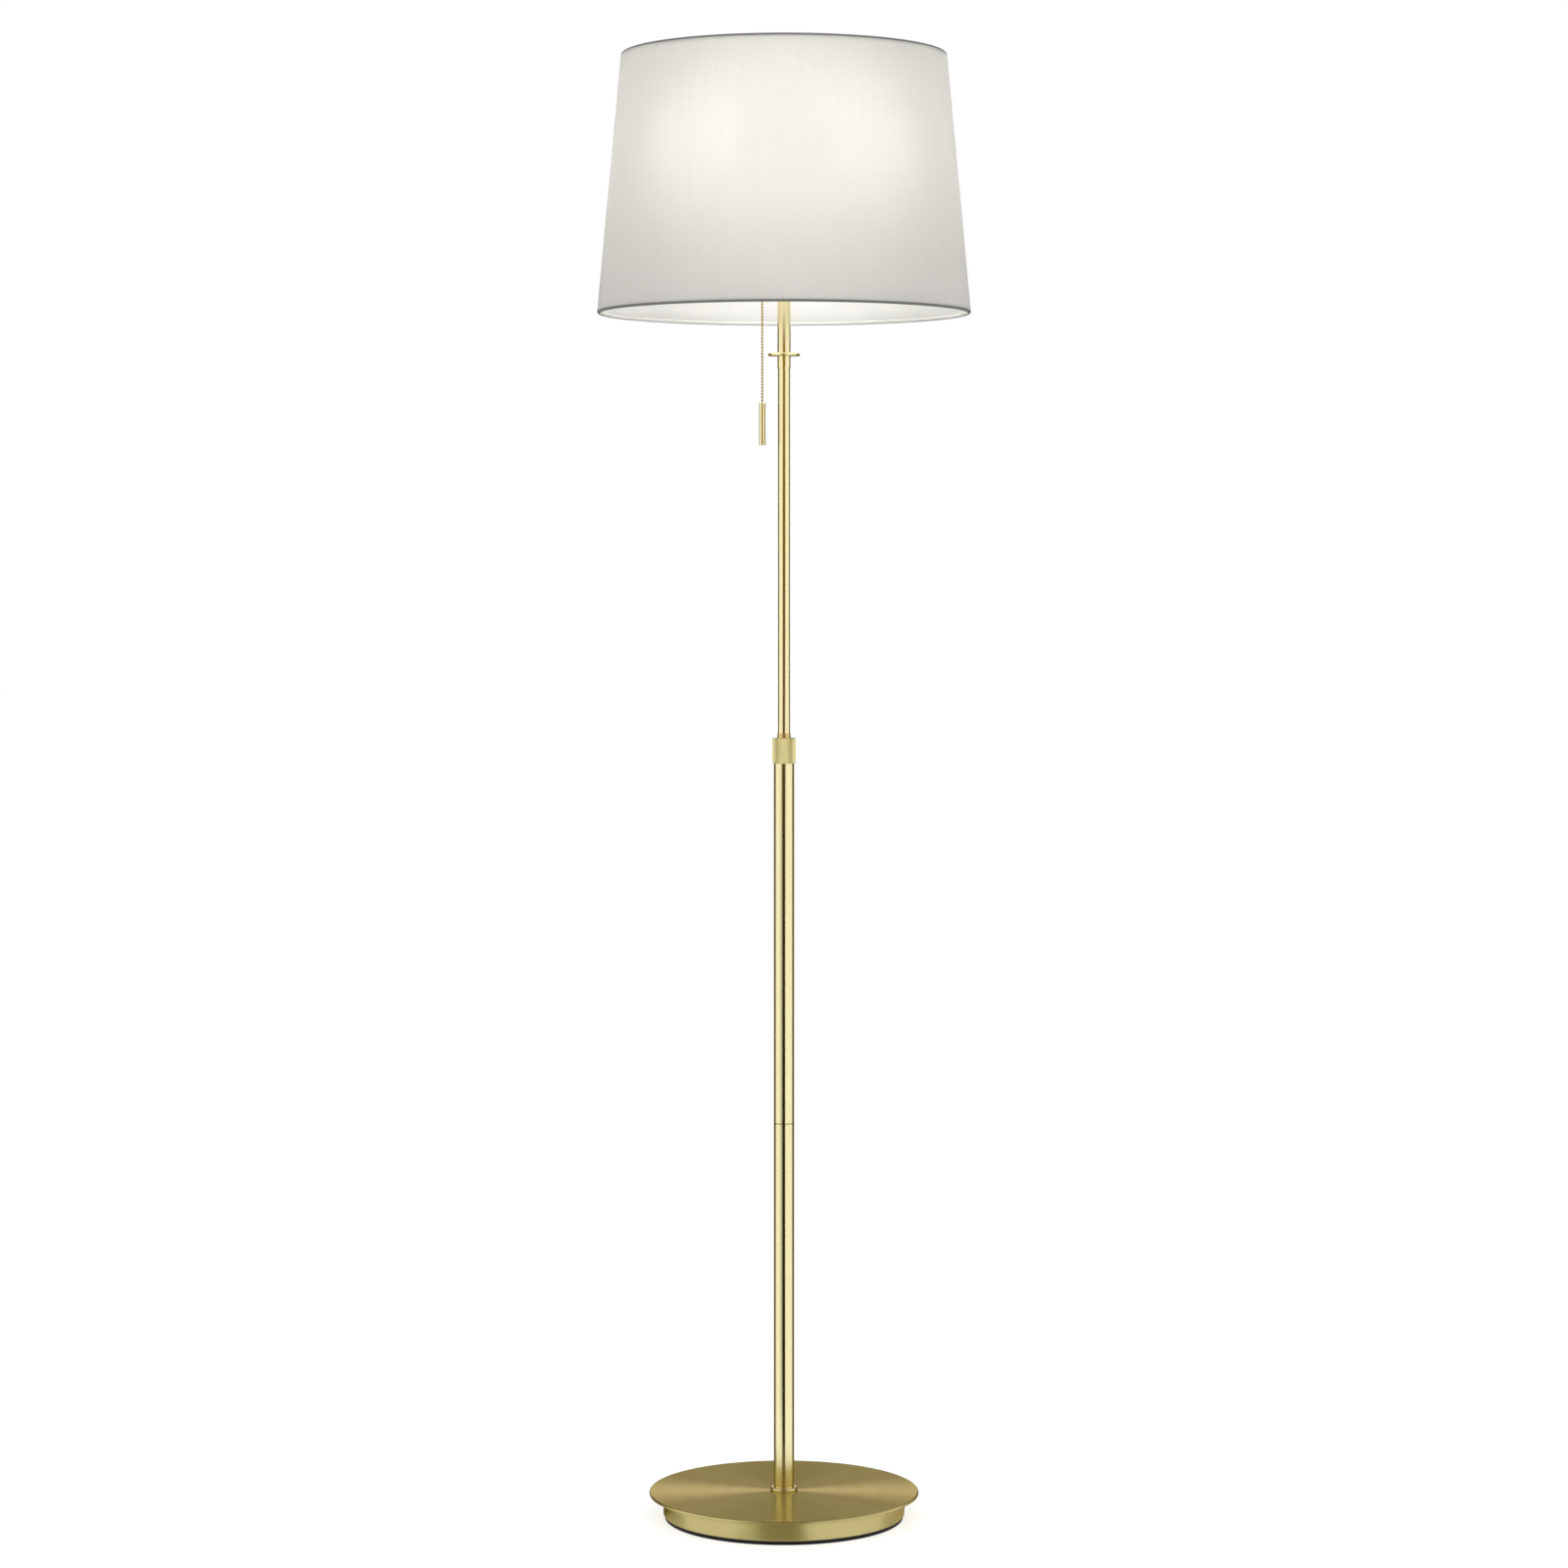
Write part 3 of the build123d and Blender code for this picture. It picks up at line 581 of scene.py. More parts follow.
# The rolled hems are the wall's own cloth, painted dark grey as painted shade on the rolled edges, and nearly
# opaque.
HEM = SlubCloth(
    "RolledHemPaintedShade", (0.24, 0.24, 0.235), (0.21, 0.21, 0.205), through=0.04,
    through_colour=(0.24, 0.24, 0.235), through_slub=(0.21, 0.21, 0.205),
)


class Dresser:
    """Makes each material once and puts it on nodes and pieces."""

    def __init__(self) -> None:
        """Start with no material made."""
        self.made: dict[str, bpy.types.Material] = {}

    def material(self, finish: Finish) -> bpy.types.Material:
        """The material of a finish.

        Args:
            finish: The finish.

        Returns:
            The material, made on first use.
        """
        if finish.name not in self.made:
            self.made[finish.name] = finish.material()
        return self.made[finish.name]

    def nodes(self, finish: Finish, *names: str) -> None:
        """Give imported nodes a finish.

        Args:
            finish: The finish.
            *names: Names of the nodes.
        """
        for name in names:
            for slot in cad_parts[name].material_slots:
                slot.material = self.material(finish)
            LOG.info("%s wears %s", name, finish.name)

    def piece(self, thing: bpy.types.Object, slot: str, *finishes: Finish) -> None:
        """Give a new piece its finishes.

        Args:
            thing: The piece.
            slot: Material slot in the record, not used.
            *finishes: One finish for each material number of the mesh.
        """
        for finish in finishes:
            thing.data.materials.append(self.material(finish))
        LOG.info("%s made, in %s", thing.name, ", ".join(finish.name for finish in finishes))


def arc(centre: tuple[float, float], radius: float, first: float, last: float, count: int) -> np.ndarray:
    """Points on a circle: centre plus radius times (cos, sin) of evenly spaced angles.

    Args:
        centre: Middle of the circle.
        radius: Radius of the circle.
        first: First angle.
        last: Last angle.
        count: Number of points.

    Returns:
        Array of shape (count, 2).
    """
    angle = np.linspace(first, last, count)
    return np.stack([centre[0] + radius * np.cos(angle), centre[1] + radius * np.sin(angle)], axis=1)


def run(start: np.ndarray, end: np.ndarray, count: int) -> np.ndarray:
    """Evenly spaced points strictly between two points: start plus a share of the way to the end.

    Args:
        start: First point, left out.
        end: Last point, left out.
        count: Number of points between them.

    Returns:
        Array of shape (count, 2).
    """
    share = np.linspace(0, 1, count + 2)[1:-1, None]
    return start + share * (end - start)


def revolved(profile: np.ndarray, angles: np.ndarray) -> np.ndarray:
    """Carry a profile round the upright axis: (r cos a, r sin a, z) for each angle a.

    Args:
        profile: Array (points, 2) or (angles, points, 2) of radius and height.
        angles: Array (angles,), or (angles, points) where each point has an angle of its own.

    Returns:
        Array (angles, points, 3).
    """
    turn = angles if angles.ndim == 2 else angles[:, None]
    shape = np.broadcast_to(profile, (len(angles), *profile.shape[-2:]))
    return np.stack([shape[..., 0] * np.cos(turn), shape[..., 0] * np.sin(turn), shape[..., 1]], axis=-1)


def ripple(angles: np.ndarray, counts: range, seed: int) -> np.ndarray:
    """Sum of sines round the axis with seeded phases, scaled to about -1 to 1.

    Args:
        angles: Angles to work it out at.
        counts: Waves to a full turn of each sine.
        seed: Seed of the phases.

    Returns:
        One value for each angle.
    """
    order = np.array(counts)[:, None]
    phase = np.random.default_rng(seed).uniform(0, FULL_TURN, (len(order), 1))
    return np.sin(order * angles + phase).sum(axis=0) / math.sqrt(len(order))


def grid_faces(rows: int, columns: int, row_cells: int, column_cells: int) -> np.ndarray:
    """Four-sided faces of a grid: cell (i, j) has the corners (i, j), (i+1, j), (i+1, j+1) and (i, j+1).

    Args:
        rows: Rows of points.
        columns: Columns of points.
        row_cells: Rows of cells, as many as rows where the grid closes on itself that way, or one less.
        column_cells: Columns of cells, likewise.

    Returns:
        Array (faces, 4) of point numbers.
    """
    row, column = np.meshgrid(np.arange(row_cells), np.arange(column_cells), indexing="ij")
    corners = [((row + i) % rows) * columns + (column + j) % columns for i, j in CELL_CORNERS]
    return np.stack(corners, axis=-1).reshape(-1, 4)


def signed_volume(points: np.ndarray, faces: np.ndarray) -> float:
    """A sixth of the sum of the triple products of both triangles of each four-sided face.

    Args:
        points: Array (count, 3).
        faces: Array (faces, 4) of point numbers.

    Returns:
        The volume, negative where the faces point inwards.
    """
    a, b, c, d = (points[faces[:, i]] for i in range(4))
    first = np.einsum("ij,ij->", a, np.cross(b, c))
    second = np.einsum("ij,ij->", a, np.cross(c, d))
    return float(first + second) / 6


def placed(name: str, data: bpy.types.ID) -> bpy.types.Object:
    """Put a new object with its data into the scene.

    Args:
        name: Name of the object.
        data: Mesh, light or camera.

    Returns:
        The object, at the origin.
    """
    thing = bpy.data.objects.new(name, data)
    bpy.context.scene.collection.objects.link(thing)
    return thing


def hidden_lamp(data: bpy.types.Light, place: Vector, turn: Vector) -> bpy.types.Object:
    """Put a lamp into the scene that lights it but isn't seen.

    Args:
        data: The light.
        place: Where it is.
        turn: Its rotation.

    Returns:
        The lamp.
    """
    lamp = placed(data.name, data)
    lamp.location = place
    lamp.rotation_euler = turn
    lamp.visible_camera = False
    lamp.visible_glossy = False
    return lamp


def closed_piece(
    name: str, points: np.ndarray, faces: np.ndarray, body: str, uv: np.ndarray | None = None,
    numbers: np.ndarray | None = None,
) -> bpy.types.Object:
    """Make a smooth closed piece whose faces point outwards.

    Args:
        name: Name of the piece.
        points: Array (count, 3).
        faces: Array (faces, 4) of point numbers.
        body: Body that the piece rides on.
        uv: Array (faces, 4, 2), or None for a piece without a map.
        numbers: Material number of each face, or None for one material.

    Returns:
        The new object.
    """
    way = -1 if signed_volume(points, faces) < 0 else 1
    mesh = bpy.data.meshes.new(name)
    mesh.from_pydata(points, [], faces[:, ::way])
    if uv is not None:
        corners = uv[:, ::way].astype(np.float32)
        mesh.uv_layers.new(name="Cloth").data.foreach_set("uv", corners.ravel())
    if numbers is not None:
        mesh.polygons.foreach_set("material_index", numbers.astype(np.int32))
    mesh.shade_smooth()
    mesh.set_sharp_from_angle(angle=SHARP_ANGLE)
    mesh.update()
    thing = placed(name, mesh)
    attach(thing, body)
    return thing


def ring_piece(
    name: str, points: np.ndarray, body: str, uv: np.ndarray | None = None, numbers: np.ndarray | None = None
) -> bpy.types.Object:
    """Make a piece from a grid that closes on itself both ways, like a ring of closed sections.

    Args:
        name: Name of the piece.
        points: Array (rows, columns, 3).
        body: Body that the piece rides on.
        uv: Array (rows + 1, columns + 1, 2), or None for a piece without a map.
        numbers: Material number of each column of faces, or None for one material.

    Returns:
        The new object.
    """
    rows, columns = points.shape[:2]
    if uv is not None:
        row, column = np.divmod(np.arange(rows * columns), columns)
        uv = np.stack([uv[row + i, column + j] for i, j in CELL_CORNERS], axis=1)
    if numbers is not None:
        numbers = np.tile(numbers, rows)
    faces = grid_faces(rows, columns, rows, columns)
    return closed_piece(name, points.reshape(-1, 3), faces, body, uv, numbers)


def strip_piece(name: str, points: np.ndarray, body: str) -> bpy.types.Object:
    """Make a piece from sections that are closed loops, with both ends capped across the loop's halves.

    Args:
        name: Name of the piece.
        points: Array (sections, loop, 3).
        body: Body that the piece rides on.

    Returns:
        The new object, with a map in metres, across X and up Z.
    """
    rows, columns = points.shape[:2]
    place = np.arange(columns // 2 - 1)
    cap = np.stack([place, place + 1, columns - 2 - place, columns - 1 - place], axis=-1)
    sides = grid_faces(rows, columns, rows - 1, columns)
    faces = np.concatenate([sides, cap, (rows - 1) * columns + cap[:, ::-1]])
    flat = points.reshape(-1, 3)
    return closed_piece(name, flat, faces, body, flat[:, [0, 2]][faces])


@dataclass
class Base:
    """Weighted round base: felt pad, closing plate, ballast, skirt and overhanging disc."""

    dresser: Dresser
    pad_edge: float = 0.0008
    pad_hub: float = 0.0004
    pad_segments: int = 288
    pad_rings: int = 18
    edge_points: int = 6
    fuzz: float = 0.00012
    fuzz_waves: range = range(20, 140, 7)
    fuzz_seed: int = 5

    def pad(self) -> bpy.types.Object:
        """Felt pad: a flat section with rounded edges carried round, its rim roughened by ripples.

        Returns:
            The pad, which stands for the plain solid.
        """
        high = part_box("base_pad")[1]
        radius, top, edge, hub = high.x, high.z, self.pad_edge, self.pad_hub
        lower = np.linspace([hub, 0.0], [radius - edge, 0.0], self.pad_rings)
        rim = np.concatenate([
            arc((radius - edge, edge), edge, -math.pi / 2, 0, self.edge_points)[1:],
            arc((radius - edge, top - edge), edge, 0, math.pi / 2, self.edge_points),
        ])
        upper = np.linspace([radius - edge, top], [hub, top], self.pad_rings)[1:]
        profile = np.concatenate([lower, rim, upper])
        angles = np.linspace(0, FULL_TURN, self.pad_segments, endpoint=False)
        on_rim = np.clip((profile[:, 0] - radius + 2 * edge) / edge, 0, 1) * (profile[:, 1] > 0)
        fuzz = ripple(angles, self.fuzz_waves, self.fuzz_seed)[:, None] * on_rim * self.fuzz
        section = np.repeat(profile[None], len(angles), axis=0)
        section[..., 0] += np.minimum(fuzz, 0)
        pad = ring_piece("felt_pad", revolved(section, angles), "stand")
        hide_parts("base_pad")
        return pad

    def dress(self) -> None:
        """Build the pad and finish the base's pieces."""
        self.dresser.piece(self.pad(), "black_felt", BLACK_FELT)
        self.dresser.nodes(SHEET_BRASS, "base_skirt", "base_disc")
        self.dresser.nodes(SATIN_BRASS, "pole_flange")
        self.dresser.nodes(BLACK_STEEL, "base_plate")
        self.dresser.nodes(CAST_IRON, "base_ballast")
        self.dresser.nodes(ZINC_STEEL, "plate_screws", "base_washer", "base_locknut", "base_nipple")
        self.dresser.nodes(BLACK_NYLON, "cord_inlet_bush")


@dataclass
class Pole:
    """Two lower lengths, the sliding upper pole and the twist clamp between them."""

    dresser: Dresser

    def dress(self) -> None:
        """Finish the pole's pieces, with painted shade in the groove where the lower lengths meet."""
        joined = replace(SATIN_BRASS, name="JoinedTubeBrassGrooveShade", groove=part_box("lower_pole")[1].z)
        self.dresser.nodes(joined, "lower_pole", "middle_pole")
        self.dresser.nodes(SATIN_BRASS, "upper_pole")
        self.dresser.nodes(
            TURNED_BRASS, "pole_foot_plug", "pole_socket", "pole_spigot", "clamp_body", "clamp_collet"
        )
        self.dresser.nodes(KNURLED_BRASS, "clamp_nut")
        self.dresser.nodes(BLACK_NYLON, "stop_collar")


@dataclass
class Head:
    """Stem, grip disc, twin lampholder cluster and the rod that carries the shade."""

    dresser: Dresser
    spot_watts: float = 0.74
    spot_angle: float = math.radians(128)
    spot_gap: float = 0.004
    spot_dip: float = math.radians(5)
    spot_inset: float = 0.020
    spot_drop: float = 0.008

    def spots(self, side: Side) -> None:
        """Small lamps in front of and behind a globe, which give the shade its two soft bright spots.

        Args:
            side: Which of the two globes.
        """
        low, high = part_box(f"{side.value}_bulb_globe")
        radius = (high.y - low.y) / 2
        inset = radius + self.spot_inset
        across = low.x + inset if side is Side.LEFT else high.x - inset
        for way in (-1, 1):
            data = bpy.data.lights.new(f"{side.value}_glow_{way}", "SPOT")
            data.energy = self.spot_watts
            data.spot_size = self.spot_angle
            data.spot_blend = 1.0
            data.shadow_soft_size = radius / 2
            place = (across, way * (radius + self.spot_gap), high.z - radius - self.spot_drop)
            lamp = hidden_lamp(data, place, (way * (math.pi / 2 - self.spot_dip), 0, 0))
            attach(lamp, "head")

    def dress(self) -> None:
        """Finish the head's pieces and set the glow on both sides."""
        self.dresser.nodes(
            SATIN_BRASS, "head_stem", "grip_disc", "cluster_cup", "cluster_cover", "shade_rod", "finial"
        )
        self.dresser.nodes(ZINC_STEEL, "stem_nipple", "cluster_nipple", "cluster_locknut", "holder_locknuts")
        for side in Side:
            name = side.value
            self.dresser.nodes(ZINC_STEEL, f"{name}_holder_nipple")
            self.dresser.nodes(
                WHITE_PLASTIC, f"{name}_holder_cap", f"{name}_holder_insert", f"{name}_holder_shell"
            )
            self.dresser.nodes(TURNED_BRASS, f"{name}_screw_sleeve")
            self.dresser.nodes(BULB_METAL, f"{name}_bulb_cap")
            self.dresser.nodes(FROSTED_GLASS, f"{name}_bulb_globe")
            self.spots(side)


@dataclass
class PullSwitch:
    """Switch, bell-mouthed collar, plunger, bead chain and handle."""

    dresser: Dresser

    def dress(self) -> None:
        """Finish the switch's pieces."""
        self.dresser.nodes(WHITE_PLASTIC, "switch_body")
        self.dresser.nodes(SATIN_BRASS, "switch_bell", "pull_handle")
        self.dresser.nodes(BEAD_BRASS, "switch_plunger", "chain_clasp", "pull_chain")


@dataclass
class Shade:
    """Tapered drum of slubby cloth on a white lining, rolled round two wire rings, its seam behind."""

    dresser: Dresser
    wall: float = 0.001
    wrap: float = 0.00045
    hem_end: float = math.radians(60)
    low_band: float = 0.0003
    high_band: float = 0.0004
    tucked: float = math.radians(135)
    turned_in: float = 0.75 * FULL_TURN
    segments: int = 336
    arc_points: int = 16
    wall_points: int = 22
    sway: float = 0.0002
    sway_waves: range = range(2, 9)
    sway_seed: int = 3
    pucker: float = 0.00005
    pucker_waves: range = range(70, 160, 9)
    pucker_seed: int = 8
    pucker_fade: int = 8
    seam_width: float = 0.013
    seam_thickness: float = 0.0004
    seam_gap: float = 0.00005
    seam_edge: int = 8
    seam_rows: int = 40
    seam_columns: int = 12
    seam_azimuth: float = math.pi / 2
    hem: float = field(init=False)
    low: np.ndarray = field(init=False)
    high: np.ndarray = field(init=False)
    slant: float = field(init=False)
    rise: np.ndarray = field(init=False)
    out: np.ndarray = field(init=False)
    lean: float = field(init=False)

    def __post_init__(self) -> None:
        """Read the hems' radius and middles from the wire rings and the cloth's box, and the wall's slope."""
        low_ring, high_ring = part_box("shade_bottom_ring"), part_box("shade_top_ring")
        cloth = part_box("shade_fabric")
        self.hem = (low_ring[0].z + low_ring[1].z) / 2 - cloth[0].z
        wire = (low_ring[1].z - low_ring[0].z) / 2
        self.low = np.array([low_ring[1].x - wire, cloth[0].z + self.hem])
        self.high = np.array([high_ring[1].x - wire, cloth[1].z - self.hem])
        self.slant = float(np.linalg.norm(self.high - self.low))
        self.rise = (self.high - self.low) / self.slant
        self.out = np.array([self.rise[1], -self.rise[0]])
        self.lean = math.atan2(self.out[1], self.out[0])

    def section(self) -> tuple[np.ndarray, np.ndarray]:
        """Closed section of the wall: round both hems on the outside, then back along the lining.

        Returns:
            Points (count, 2), and the layer from each point to the next.
        """
        inside = self.hem - self.wrap
        half_mouth = math.acos((self.hem - self.wall) / inside)
        count = self.arc_points
        low_outer = arc(self.low, self.hem, self.hem_end, FULL_TURN + self.lean, count)
        high_outer = arc(self.high, self.hem, self.lean, FULL_TURN - self.hem_end, count)
        high_inner = arc(self.high, inside, FULL_TURN - self.hem_end, self.lean - half_mouth, count)
        low_inner = arc(self.low, inside, self.lean + half_mouth, self.hem_end - FULL_TURN, count)
        low_edge = low_outer[-1] + self.rise * self.low_band
        high_edge = high_outer[0] - self.rise * self.high_band
        outer_wall = np.concatenate([[low_edge], run(low_edge, high_edge, self.wall_points), [high_edge]])
        inner_wall = run(high_inner[-1], low_inner[0], self.wall_points)
        parts = [low_outer, outer_wall, high_outer, high_inner, inner_wall, low_inner]
        low_turn = np.linspace(self.hem_end, FULL_TURN + self.lean, count)
        high_turn = np.linspace(self.lean, FULL_TURN - self.hem_end, count)
        layers = [
            np.where(low_turn > FULL_TURN - self.tucked, Layer.HEM, Layer.LINING),
            [Layer.CLOTH] * (len(outer_wall) - 1) + [Layer.HEM],
            np.where(high_turn < self.tucked, Layer.HEM, Layer.LINING),
            [Layer.LINING] * (2 * count + len(inner_wall)),
        ]
        return np.concatenate(parts), np.concatenate(layers)

    def cloth(self) -> bpy.types.Object:
        """The wall's section carried round, swaying a little between its hems and puckered along them.

        Returns:
            The cloth with its lining, which stands for the plain solid.
        """
        section, layers = self.section()
        angles = np.linspace(0, FULL_TURN, self.segments, endpoint=False) + self.seam_azimuth
        share = np.clip((section[:, 1] - self.low[1]) / (self.high[1] - self.low[1]), 0, 1)
        loose = np.sin(math.pi * share) ** 2
        tight = (1 - loose) ** self.pucker_fade
        sway = ripple(angles, self.sway_waves, self.sway_seed)[:, None] * loose * self.sway
        pucker = ripple(angles, self.pucker_waves, self.pucker_seed)[:, None] * tight * self.pucker
        shape = np.repeat(section[None], self.segments, axis=0)
        shape[..., 0] += np.minimum(sway + pucker, self.pucker)
        steps = np.diff(np.concatenate([section, section[:1]]), axis=0)
        along = np.concatenate([[0], np.cumsum(np.linalg.norm(steps, axis=1))])
        across = np.linspace(0, FULL_TURN, self.segments + 1) * (self.low[0] + self.high[0]) / 2
        uv = np.stack(np.meshgrid(across, along, indexing="ij"), axis=-1)
        cloth = ring_piece("shade_cloth", revolved(shape, angles), "head", uv, layers)
        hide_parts("shade_fabric")
        return cloth

    def seam(self) -> bpy.types.Object:
        """Glued overlap behind: a thin flat strip lying on the wall, its edges let down onto the cloth.

        Returns:
            The strip.
        """
        lift = self.out * (self.hem + self.seam_gap)
        line = np.linspace(self.low + lift, self.high + lift, self.seam_rows)
        width = np.linspace(-0.5, 0.5, self.seam_columns)
        thickness = self.seam_thickness * (1 - np.abs(2 * width) ** self.seam_edge)
        over = line[:, None] + thickness[None, :, None] * self.out
        under = np.repeat(line[:, None], self.seam_columns, axis=1)
        loop = np.concatenate([over, under[:, ::-1]], axis=1)
        places = np.concatenate([width, width[::-1]]) * self.seam_width
        angles = self.seam_azimuth + places[None] / loop[..., 0]
        return strip_piece("shade_seam", revolved(loop, angles), "head")

    def dress(self) -> None:
        cloth, seam = self.cloth(), self.seam()
        # The hem layer wears painted shade: dark grey on the rolled edges.
        self.dresser.piece(cloth, "slub_fabric", SLUB_FABRIC, LINING, HEM)
        self.dresser.piece(seam, "slub_fabric", SLUB_FABRIC)
        self.dresser.nodes(WHITE_WIRE, "shade_top_ring", "shade_bottom_ring", "shade_spider")


def stage_piece(
    name: str, points: np.ndarray, faces: np.ndarray, material: bpy.types.Material
) -> bpy.types.Object:
    """Make a piece of the studio, which isn't part of the lamp.

    Args:
        name: Name of the piece.
        points: Array (count, 3).
        faces: Array (faces, 4) of point numbers.
        material: Its material.

    Returns:
        The piece.
    """
    mesh = bpy.data.meshes.new(name)
    mesh.from_pydata(points, [], faces)
    mesh.materials.append(material)
    thing = placed(name, mesh)
    return thing


def square(half: float, height: float) -> tuple[np.ndarray, np.ndarray]:
    """A level square round the upright axis.

    Args:
        half: Half its side.
        height: Its height.

    Returns:
        Its corners (4, 3) and its one face (1, 4).
    """
    corners = np.array([(-half, -half), (half, -half), (half, half), (-half, half)])
    return np.column_stack([corners, np.full(4, height)]), np.arange(4)[None]


def glossy_card(name: str, points: np.ndarray, faces: np.ndarray, colour: Colour) -> None:
    """Make an even card that only glossy rays see.

    Args:
        name: Name of the card.
        points: Array (count, 3).
        faces: Array (faces, 4) of point numbers.
        colour: What it shows, 1 for white.
    """
    graph = Graph.of_material(name)
    even = graph.add("Emission", {"Color": colour}).outputs[0]
    card = stage_piece(name, points, faces, graph.finish(even))
    for ray in Ray:
        setattr(card, ray.value, ray is Ray.GLOSSY)


@dataclass(frozen=True)
class Card:
    """Studio card standing on a circle round the lamp, some with a foot along the floor, seen in gloss only.

    Azimuths are degrees from the front, to the right.
    """

    name: str
    first: float
    last: float
    low: float
    high: float
    colour: Colour
    foot: float | None = None
    radius: float = 4.6
    lift: float = 0.002
    steps: int = 24

    def build(self) -> None:
        """A profile of radius and height carried round from the first azimuth to the last."""
        upright = [(self.radius, self.low), (self.radius, self.high)]
        profile = np.array(upright if self.foot is None else [(self.foot, self.lift), *upright])
        angles = np.radians(np.linspace(self.first, self.last, self.steps)) - math.pi / 2
        count = len(profile)
        faces = grid_faces(self.steps, count, self.steps - 1, count - 1)
        glossy_card(self.name, revolved(profile, angles).reshape(-1, 3), faces, self.colour)


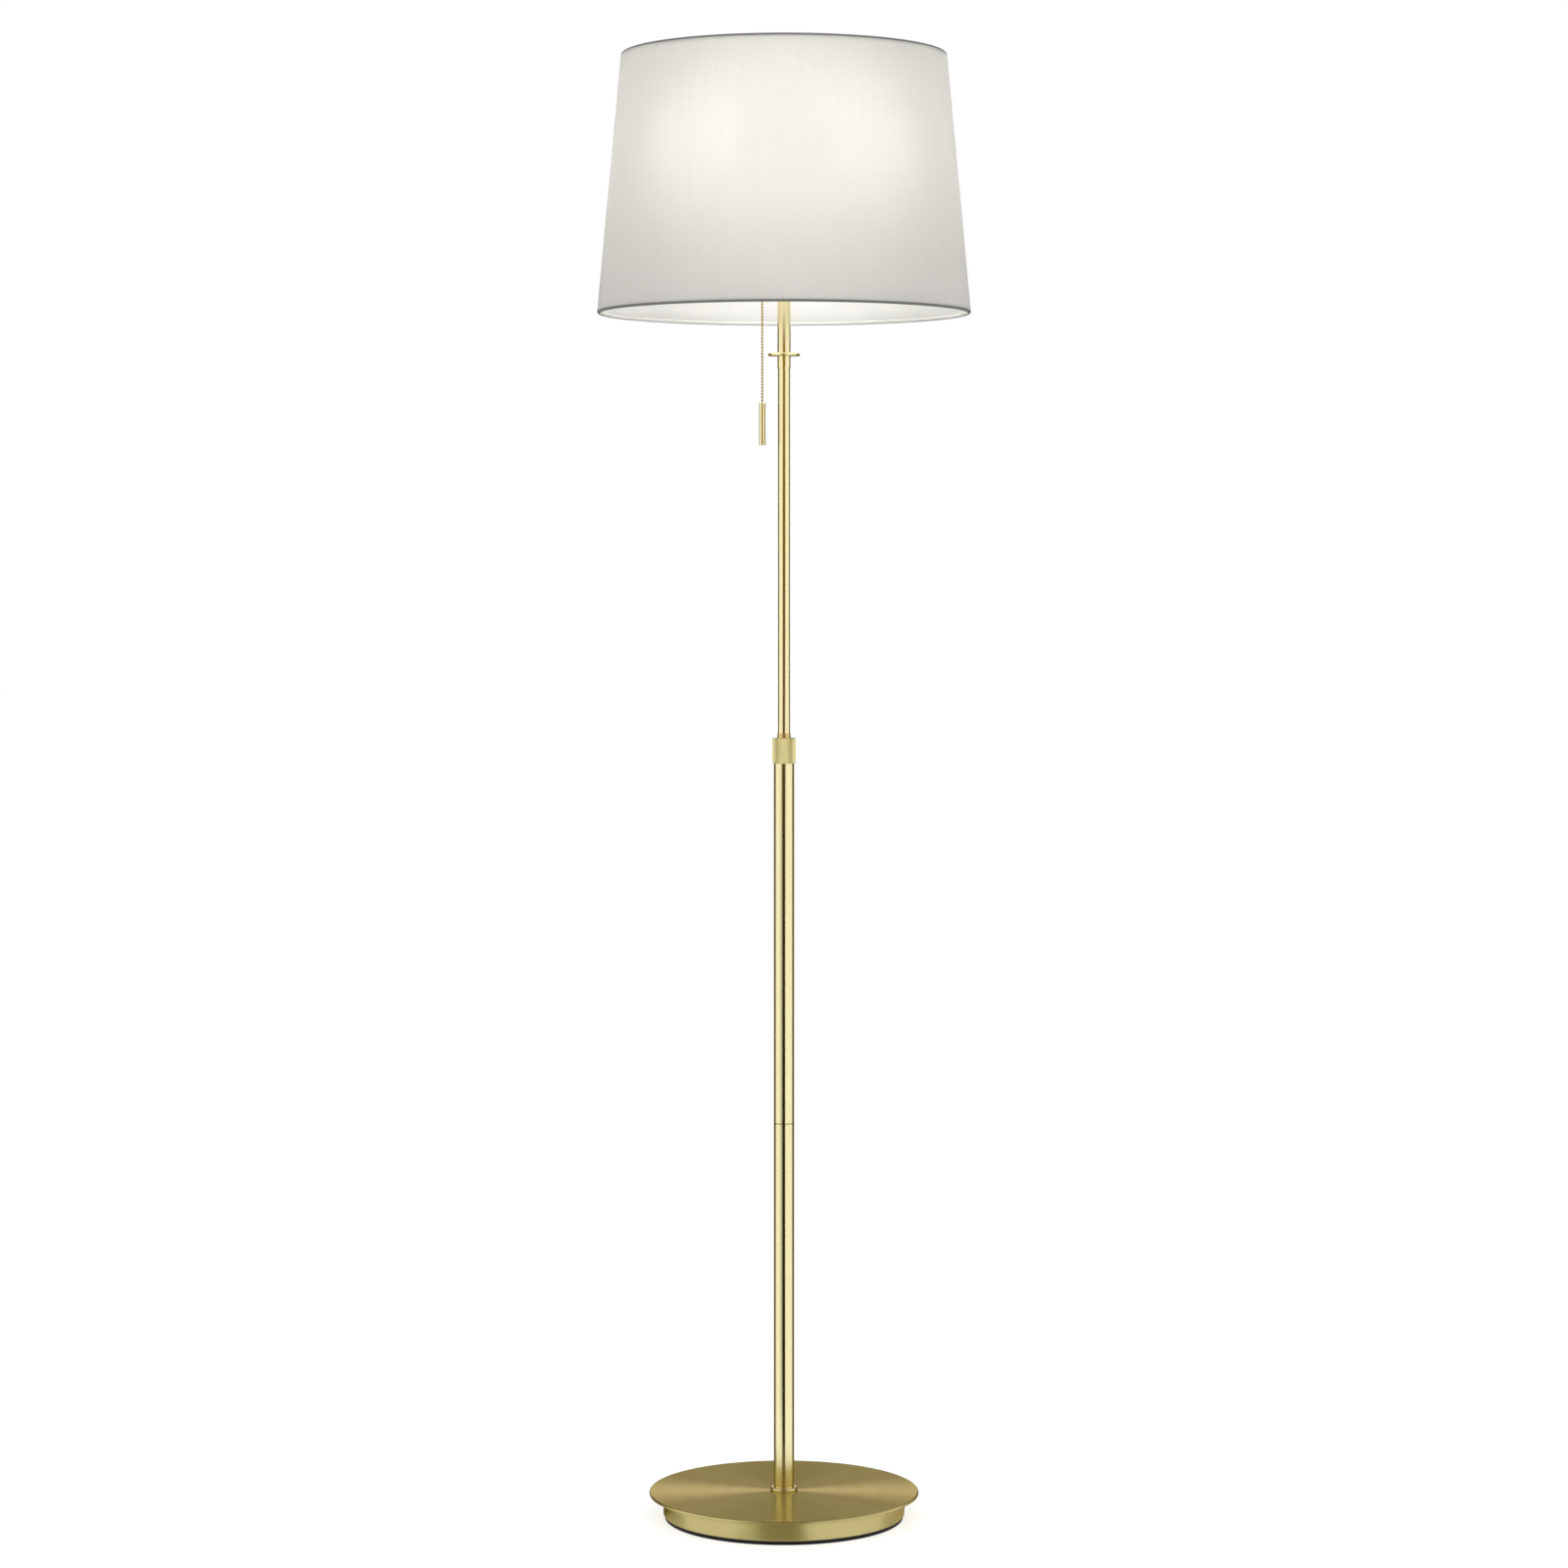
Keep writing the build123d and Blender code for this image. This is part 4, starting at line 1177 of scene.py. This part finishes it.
@dataclass
class Studio:
    """White room with a pale floor, two soft lamps and dark cards that draw the streaks in the brass."""

    fill: float = 0.46
    floor_size: float = 60.0
    floor_colour: Colour = (0.80, 0.80, 0.80)
    floor_glow: float = 0.64
    # Gloss level of the floor's painted shadow near the lamp, and the reach over which that shadow fades out.
    floor_gloss_shadow: float = 0.52
    floor_shadow_reach: tuple[float, float] = (0.235, 0.27)
    lamp_watts: float = 26.0
    lamp_size: tuple[float, float] = (1.6, 2.4)
    lamp_reach: float = 2.3
    lamp_height: float = 1.5
    lamp_tilt: float = math.radians(82)
    ceiling: Colour = (0.21, 0.20, 0.16)
    ceiling_height: float = 3.4
    cards: tuple[Card, ...] = (
        Card("card_front", -19.0, 14.0, 0.002, 0.64, (0.014, 0.008, 0.002), foot=0.30),
        Card("card_skirt", -25.0, 12.0, 0.002, 0.003, (0.33, 0.33, 0.24), foot=0.135, radius=0.30),
        Card("card_skirt_left", -106.0, -88.0, 0.002, 0.003, (0.13, 0.12, 0.06), foot=0.135, radius=0.30),
        Card("card_front_high", -25.0, 25.0, 0.64, 3.4, (0.14, 0.125, 0.08)),
        Card("card_upper_pole", -25.0, 25.0, 0.78, 1.21, (0.16, 0.08, 0.012), radius=1.5),
        Card("card_stem", -25.0, 25.0, 1.21, 1.6, (0.34, 0.21, 0.06), radius=1.5),
        Card("card_left", -50.0, -30.0, 0.002, 0.64, (0.72, 0.72, 0.68), foot=0.5),
        Card("card_left_inner", -30.0, -19.0, 0.002, 0.64, (0.40, 0.39, 0.34), foot=0.5),
        Card("card_back_left", -165.0, -106.0, 0.002, 3.4, (0.13, 0.12, 0.06), foot=0.135),
        Card("card_back_right", 106.0, 165.0, 0.002, 3.4, (0.13, 0.12, 0.06), foot=0.135),
        Card("card_back_low", 165.0, 195.0, 0.002, 0.55, (0.12, 0.11, 0.08), foot=0.135),
        Card("card_back", 165.0, 195.0, 0.55, 1.75, (0.72, 0.71, 0.92)),
        Card("card_back_high", 165.0, 195.0, 1.75, 3.4, (0.14, 0.13, 0.09)),
    )

    def floor(self) -> None:
        """Pale floor: diffuse with a glow where the camera sees it, so its shadow stays.

        In gloss it shows a painted shadow of the lamp, dimmer near it, and it can be seen through from below.
        """
        graph = Graph.of_material("PaleFloor")
        path = graph.add("LightPath").outputs
        diffuse = graph.add("BsdfDiffuse", {"Color": self.floor_colour}).outputs[0]
        shine = graph.sum(0.0, path["Is Camera Ray"], self.floor_glow)
        glow = graph.add("Emission", {"Strength": shine}).outputs[0]
        lit = graph.add("AddShader", {0: diffuse, 1: glow}).outputs[0]
        # Painted shadow: in gloss the floor is dimmer near the lamp.
        reach = graph.add("VectorMath", {0: graph.coordinates()}, operation="LENGTH").outputs["Value"]
        bright = graph.spread(reach, self.floor_gloss_shadow, 1.0, *self.floor_shadow_reach, curve="SMOOTHSTEP")
        mirrored = graph.add("Emission", {"Strength": bright}).outputs[0]
        above = graph.mix_shaders(path["Is Glossy Ray"], lit, mirrored)
        below = graph.add("BsdfTransparent").outputs[0]
        shown = graph.mix_shaders(graph.add("NewGeometry").outputs["Backfacing"], above, below)
        stage_piece("studio_floor", *square(self.floor_size / 2, 0.0), graph.finish(shown))

    def world(self) -> None:
        """White for camera, glossy and transmission rays, and an even fill for the rest."""
        world = bpy.data.worlds.new("WhiteRoom")
        bpy.context.scene.world = world
        graph = Graph(world)
        path = graph.add("LightPath").outputs
        direct = graph.sum(path["Is Camera Ray"], path["Is Glossy Ray"])
        all_seen = graph.sum(direct, path["Is Transmission Ray"])
        seen = graph.add("Math", {0: all_seen, 1: 1.0}, operation="MINIMUM").outputs[0]
        strength = graph.sum(self.fill, seen, 1 - self.fill)
        back = graph.add("Background", {"Color": (1, 1, 1), "Strength": strength}).outputs[0]
        graph.add("OutputWorld", {"Surface": back})

    def lamps(self) -> None:
        """Two soft boxes in front, left and right, aimed at the pole, which shows the cards instead."""
        for side in (-1, 1):
            data = bpy.data.lights.new(f"soft_box_{side}", "AREA")
            data.energy = self.lamp_watts
            data.shape = "RECTANGLE"
            data.size, data.size_y = self.lamp_size
            place = (side * self.lamp_reach, -self.lamp_reach, self.lamp_height)
            hidden_lamp(data, place, (self.lamp_tilt, 0, side * math.pi / 4))

    def build(self) -> None:
        """Set up the room, its light and the view transform."""
        self.floor()
        self.world()
        self.lamps()
        for card in self.cards:
            card.build()
        half = max(card.radius for card in self.cards)
        glossy_card("card_ceiling", *square(half, self.ceiling_height), self.ceiling)
        bpy.context.scene.view_settings.view_transform = "Standard"
        LOG.info("studio built with %d cards", len(self.cards) + 1)


@dataclass(frozen=True)
class Viewpoint:
    """Camera fitted to the photograph: in front, at mid height, looking slightly down."""

    focal_mm: float = 91.62
    sensor_mm: float = 36.0
    distance: float = 4.2946
    height: float = 1.0229
    pitch: float = 0.05229

    def build(self) -> None:
        """Make the camera and set it as the scene's."""
        data = bpy.data.cameras.new("photo_camera")
        data.lens = self.focal_mm
        data.sensor_width = self.sensor_mm
        camera = placed("photo_camera", data)
        camera.location = (0, -self.distance, self.height)
        camera.rotation_euler = (math.pi / 2 - self.pitch, 0, 0)
        bpy.context.scene.camera = camera
        LOG.info("camera set")


def main() -> None:
    """Build the view, the studio and every sub-assembly."""
    logging.basicConfig(level=logging.INFO, format="%(message)s")
    Viewpoint().build()
    Studio().build()
    dresser = Dresser()
    for assembly in (Base, Pole, Head, PullSwitch, Shade):
        assembly(dresser).dress()


if __name__ == "__main__":
    main()
